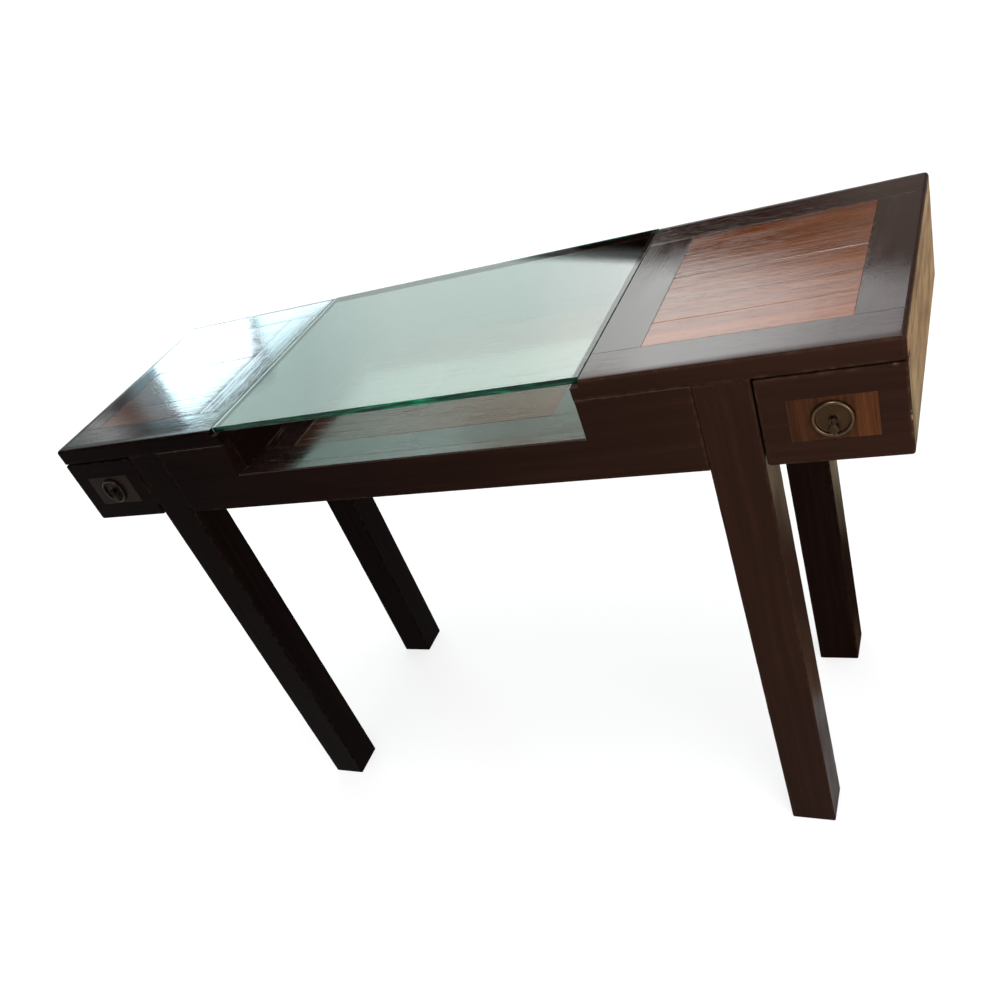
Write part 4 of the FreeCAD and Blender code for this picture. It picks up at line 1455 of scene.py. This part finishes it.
@dataclass
class GlassSheet:
    """Loose sheet of float glass with ground and polished edges."""

    shop: Workshop
    arris: float = 0.9 * MM
    smooth: float = 30.0
    flat: float = 0.95

    def build(self) -> None:
        """Make the sheet, with its edges in their own finish."""
        work = Workpiece.block("glass_top_sheet", *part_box("glass_top"))
        work.soften(lambda edge: True, self.arris, 2)
        sheet = work.done(self.smooth)
        sheet.visible_shadow = False
        self.shop.hand_over(sheet, "glass_top", Slot.GLASS, self.shop.glass, self.shop.glass_edge)
        for face in sheet.data.polygons:
            face.material_index = int(abs(face.normal.z) <= self.flat)


@dataclass(frozen=True)
class Card:
    """A soft-edged glowing card on an upright plane, placed as it is seen from a point on the table.

    The plane stands square to a level direction, at a distance from the point. Corners are metres to the
    right of that direction and above the point: bottom left, bottom right, top right and top left. The rise
    is the share of its light at the foot and from half its height.
    """

    name: str
    seen_from: tuple
    azimuth: float
    distance: float
    corners: tuple
    strength: float
    stops: tuple
    soft: float = 0.08
    rise: tuple = (1.0, 1.0)
    lights_all: bool = True


DAYLIGHT = ((0.0, "#bfdfe9"), (1.0, "#d4eaf2"))
DUSK = ((0.0, "#000000"), (0.48, "#000000"), (0.72, "#fff4ea"))
WARM_SHADE = ((0.0, "#d8cfc4"), (1.0, "#d8cfc4"))
# a pale wall whose light grows to the right and upwards, and falls off again past the right end
WALL_LIGHT = ((0.0, "#93a4a2"), (0.18, "#9caba8"), (0.29, "#b5c1be"), (0.45, "#c5d1ce"), (0.50, "#d4dcda"),
              (0.54, "#dee2e1"), (0.62, "#f8fbfb"), (0.70, "#f8fbfb"), (0.76, "#e9e9ea"), (0.82, "#cccccd"),
              (0.88, "#bfbfc0"), (1.0, "#a7a7a8"))
LEFT_TOP = (-0.43, 0.0, 0.762)
RIGHT_TOP = (0.3, 0.0, 0.762)
RIGHT_PULL = (0.5285, -0.2, 0.683)
CARDS = (
    Card("window_card", LEFT_TOP, -46.0, 2.8,
         ((-0.205, 0.27), (0.435, 0.27), (0.215, 0.89), (-0.205, 1.01)), 12.0, DAYLIGHT),
    Card("side_window_card", LEFT_TOP, -46.0, 2.8,
         ((0.45, 0.27), (0.85, 0.27), (0.72, 0.81), (0.24, 0.93)), 8.0, DAYLIGHT),
    Card("window_glow_card", LEFT_TOP, -46.0, 2.82,
         ((-0.39, 0.25), (0.40, 0.25), (0.30, 1.08), (-0.39, 1.08)), 1.2, DAYLIGHT, soft=0.29),
    Card("side_wall_card", LEFT_TOP, -46.0, 2.84,
         ((-0.80, 0.76), (-0.46, 0.76), (-0.36, 1.00), (-0.80, 1.06)), 1.2, WALL_LIGHT, soft=0.22),
    Card("wall_card", RIGHT_TOP, -18.0, 3.3,
         ((-2.259, 0.364), (1.475, 1.798), (0.759, 3.666), (-2.975, 2.232)), 3.6, WALL_LIGHT, soft=0.05,
         rise=(0.85, 1.15)),
    Card("dark_flag", RIGHT_TOP, -18.0, 3.28,
         ((-0.39, 0.45), (1.45, 0.45), (1.45, 1.76), (-0.39, 1.06)), 0.25, DUSK, lights_all=False),
    Card("wall_shade_card", RIGHT_TOP, -18.0, 3.28,
         ((-1.150, 1.565), (-0.234, 1.800), (-0.449, 2.345), (-1.326, 2.008)), 1.8, WARM_SHADE, soft=0.15,
         lights_all=False),
    Card("lamp_card", RIGHT_PULL, 191.6, 1.9,
         ((-0.45, 1.30), (0.45, 1.30), (0.45, 3.60), (-0.45, 3.60)), 30.0, WALL_LIGHT, lights_all=False),
)


@dataclass(frozen=True)
class Shot:
    """The photograph's camera: its place and aim in metres, and its frame in pixels."""

    place: tuple = (0.6847524, -1.0576057, 1.2274879)
    aim: tuple = (-0.0230118, -0.1682091, 0.41511)
    roll: float = 0.4433
    focal_px: float = 947.5365
    centre_px: tuple = (460.0658, 601.9808)
    frame_px: tuple = (994, 995)
    sensor: float = 36.0


@dataclass
class Studio:
    """Pale floor, soft light and the camera.

    The brown paper lies behind the right end, and its stops run from its front to its back. The sky's spread
    is in degrees.
    """

    mat_box: tuple = ((0.40, 0.05), (1.40, 2.40))
    mat_stops: tuple = ((0.0, "#7f6645"), (0.05, "#624e3a"), (0.09, "#28211d"), (0.17, "#2f251c"),
                        (0.25, "#b7a88c"), (0.33, "#d5c59c"), (0.45, "#f9cf9d"))
    mat_glow: float = 3.0
    mat_level: float = 1 * MM
    floor_size: float = 132.0
    floor_lift: float = 0.75
    floor_grey: str = "#969696"
    surround: float = 0.2
    backdrop_radius: float = 60.0
    backdrop_height: float = 7.0
    backdrop_sides: int = 128
    card_cuts: int = 9
    sky_light: float = 2.2
    sky_spread: float = 60.0
    sky_place: tuple = (0.5, -0.4, 4.0)
    sky_aim: tuple = (0.0, 0.0, 0.0)
    box_light: float = 17.0
    box_size: float = 1.0
    box_place: tuple = (1.3, -1.2, 0.9)
    box_aim: tuple = (0.4, 0.0, 0.4)

    def build(self) -> None:
        """Set up the whole studio."""
        self.build_world()
        self.build_floor()
        for card in CARDS:
            self.build_card(card)
        self.build_lamps()
        self.build_camera(Shot())
        bpy.context.scene.view_settings.view_transform = "Standard"

    def build_world(self) -> None:
        """Even dim surround, white to the camera."""
        world = bpy.data.worlds.new("studio")
        bpy.context.scene.world = world
        world.use_nodes = True
        tree = world.node_tree
        tree.nodes.clear()
        seen = add(tree, "LightPath").outputs["Is Camera Ray"]
        light = add(tree, "MapRange", (seen, 0.0, 1.0, self.surround, 1.0))
        add(tree, "OutputWorld", (add(tree, "Background", (linear("#ffffff"), light)),))

    def build_floor(self) -> None:
        """Pale matt floor that stays white to the eye and keeps the table's shadow."""
        floor = start("plane", size=self.floor_size, location=(0, 0, 0))
        floor.name = "studio_floor"
        floor.data.materials.append(self.paper("pale_paper_floor", self.floor_grey, self.floor_lift))
        backdrop = start("cylinder", vertices=self.backdrop_sides, radius=self.backdrop_radius,
                         depth=self.backdrop_height, end_fill_type="NOTHING",
                         location=(0, 0, self.backdrop_height / 2))
        backdrop.name = "studio_backdrop"
        backdrop.data.materials.append(self.paper("white_backdrop_paper", "#000000", 1.0))
        backdrop.visible_diffuse = False
        backdrop.visible_shadow = False
        self.build_mat()

    def build_mat(self) -> Object:
        """Lay brown paper behind the right end, only for what glossy faces mirror.

        Returns:
            The sheet of paper.
        """
        (left, front), (right, back) = self.mat_box
        mat = start("plane", size=1.0, location=((left + right) / 2, (front + back) / 2, self.mat_level))
        mat.name = "brown_paper"
        mat.scale = (right - left, back - front, 1)
        for seen in ("camera", "diffuse", "shadow", "transmission"):
            setattr(mat, f"visible_{seen}", False)
        material, tree = new_material("brown_paper_glow")
        away = add(tree, "SeparateXYZ", (add(tree, "TexCoord").outputs["Object"],)).outputs[1]
        away = add(tree, "MapRange", (away, -0.5, 0.5))
        tint = add(tree, "ValToRGB", (away,), self.mat_stops)
        add(tree, "OutputMaterial", (add(tree, "Emission", (tint, self.mat_glow)),))
        mat.data.materials.append(material)
        return mat

    def paper(self, name: str, colour: str, lift: float) -> Material:
        """Matt paper, lifted towards white for the eye and for what metal and glass mirror.

        Args:
            name: The material's name.
            colour: Colour that the lamps light.
            lift: Light added to it for camera, glossy and transmission rays.

        Returns:
            The finished material.
        """
        material, tree = new_material(name)
        path = add(tree, "LightPath").outputs
        seen = path["Is Camera Ray"]
        for ray in ("Is Glossy Ray", "Is Transmission Ray"):
            seen = add(tree, "Math", (seen, path[ray]), operation="MAXIMUM")
        light = add(tree, "Math", (seen, lift), operation="MULTIPLY")
        matt = add(tree, "BsdfDiffuse", (linear(colour),))
        glow = add(tree, "Emission", (linear("#ffffff"), light))
        add(tree, "OutputMaterial", (add(tree, "AddShader", (matt, glow)),))
        return material

    def build_card(self, card: Card) -> None:
        """Stand one glowing card where the tops mirror it.

        Args:
            card: Its place, size and light.
        """
        turn = math.radians(card.azimuth)
        level = Vector((math.sin(turn), math.cos(turn), 0))
        right = Vector((math.cos(turn), -math.sin(turn), 0))
        upward = Vector((0, 0, 1))
        middle = Vector(card.seen_from) + level * card.distance
        plane = start("plane", size=2.0)
        plane.name = card.name
        ring = [plane.data.loops[index].vertex_index for index in plane.data.polygons[0].loop_indices]
        for index, (across, up) in zip(ring, card.corners):
            plane.data.vertices[index].co = middle + right * across + upward * up
        bpy.ops.object.mode_set(mode="EDIT")
        bpy.ops.mesh.select_all(action="SELECT")
        bpy.ops.mesh.subdivide(number_cuts=self.card_cuts)
        bpy.ops.object.mode_set(mode="OBJECT")
        for seen in ("camera", "shadow") + (() if card.lights_all else ("diffuse",)):
            setattr(plane, f"visible_{seen}", False)
        plane.data.materials.append(self.glow(card))

    def glow(self, card: Card) -> Material:
        """Light of a card, clear at its edges.

        Args:
            card: Its colours and strength.

        Returns:
            The finished material.
        """
        material, tree = new_material(f"{card.name}_glow")
        along, height, _ = add(tree, "SeparateXYZ", (add(tree, "TexCoord").outputs["UV"],)).outputs
        fades = []
        for part in (along, height):
            away = add(tree, "Math", (part, 0.5), operation="SUBTRACT")
            away = add(tree, "Math", (away,), operation="ABSOLUTE")
            fades.append(add(tree, "MapRange", (away, 0.5, 0.5 - card.soft / 2),
                             interpolation_type="SMOOTHSTEP"))
        fade = add(tree, "Math", fades, operation="MULTIPLY")
        low, high = (share * card.strength for share in card.rise)
        strength = add(tree, "MapRange", (height, 0.0, 0.5, low, high))
        tint = add(tree, "ValToRGB", (along,), card.stops)
        shaders = (fade, add(tree, "BsdfTransparent"), add(tree, "Emission", (tint, strength)))
        add(tree, "OutputMaterial", (add(tree, "MixShader", shaders),))
        return material

    def build_lamps(self) -> None:
        """Broad, very soft light from above, and a soft box at the right front."""
        sky = bpy.data.lights.new("broad_overhead_light", "SUN")
        sky.energy = self.sky_light
        sky.angle = math.radians(self.sky_spread)
        box = bpy.data.lights.new("right_front_soft_box", "AREA")
        box.size = self.box_size
        box.energy = self.box_light
        for lamp, place, aim in ((sky, self.sky_place, self.sky_aim), (box, self.box_place, self.box_aim)):
            item = bpy.data.objects.new(lamp.name, lamp)
            bpy.context.scene.collection.objects.link(item)
            item.location = place
            item.rotation_euler = (Vector(aim) - Vector(place)).to_track_quat("-Z", "Y").to_euler()
            item.visible_camera = False

    def build_camera(self, shot: Shot) -> None:
        """Put the camera where the photograph was taken.

        Args:
            shot: The photograph's camera.
        """
        place, aim = Vector(shot.place), Vector(shot.aim)
        forward = (aim - place).normalized()
        right = forward.cross(Vector((0, 0, 1))).normalized()
        down = forward.cross(right)
        cos, sin = math.cos(shot.roll), math.sin(shot.roll)
        columns = (cos * right + sin * down, sin * right - cos * down, -forward)
        turn = Matrix([[column[row] for column in columns] for row in range(3)]).to_4x4()
        lens = bpy.data.cameras.new("photo_camera")
        longest = max(shot.frame_px)
        lens.sensor_width = shot.sensor
        lens.lens = shot.focal_px * shot.sensor / longest
        lens.shift_x = (shot.frame_px[0] / 2 - shot.centre_px[0]) / longest
        lens.shift_y = (shot.centre_px[1] - shot.frame_px[1] / 2) / longest
        camera = bpy.data.objects.new("photo_camera", lens)
        camera.matrix_world = Matrix.Translation(place) @ turn
        bpy.context.scene.collection.objects.link(camera)
        bpy.context.scene.camera = camera


def main() -> None:
    """Build every sub-assembly and the studio."""
    logging.basicConfig(level=logging.INFO, format="%(name)s: %(message)s")
    shop = Workshop()
    Carcase(shop).build()
    DisplayDeck(shop).build()
    EndTops(shop).build()
    Drawers(shop).build()
    DropPulls(shop).build()
    GlassSheet(shop).build()
    Studio().build()


if __name__ == "__main__":
    main()
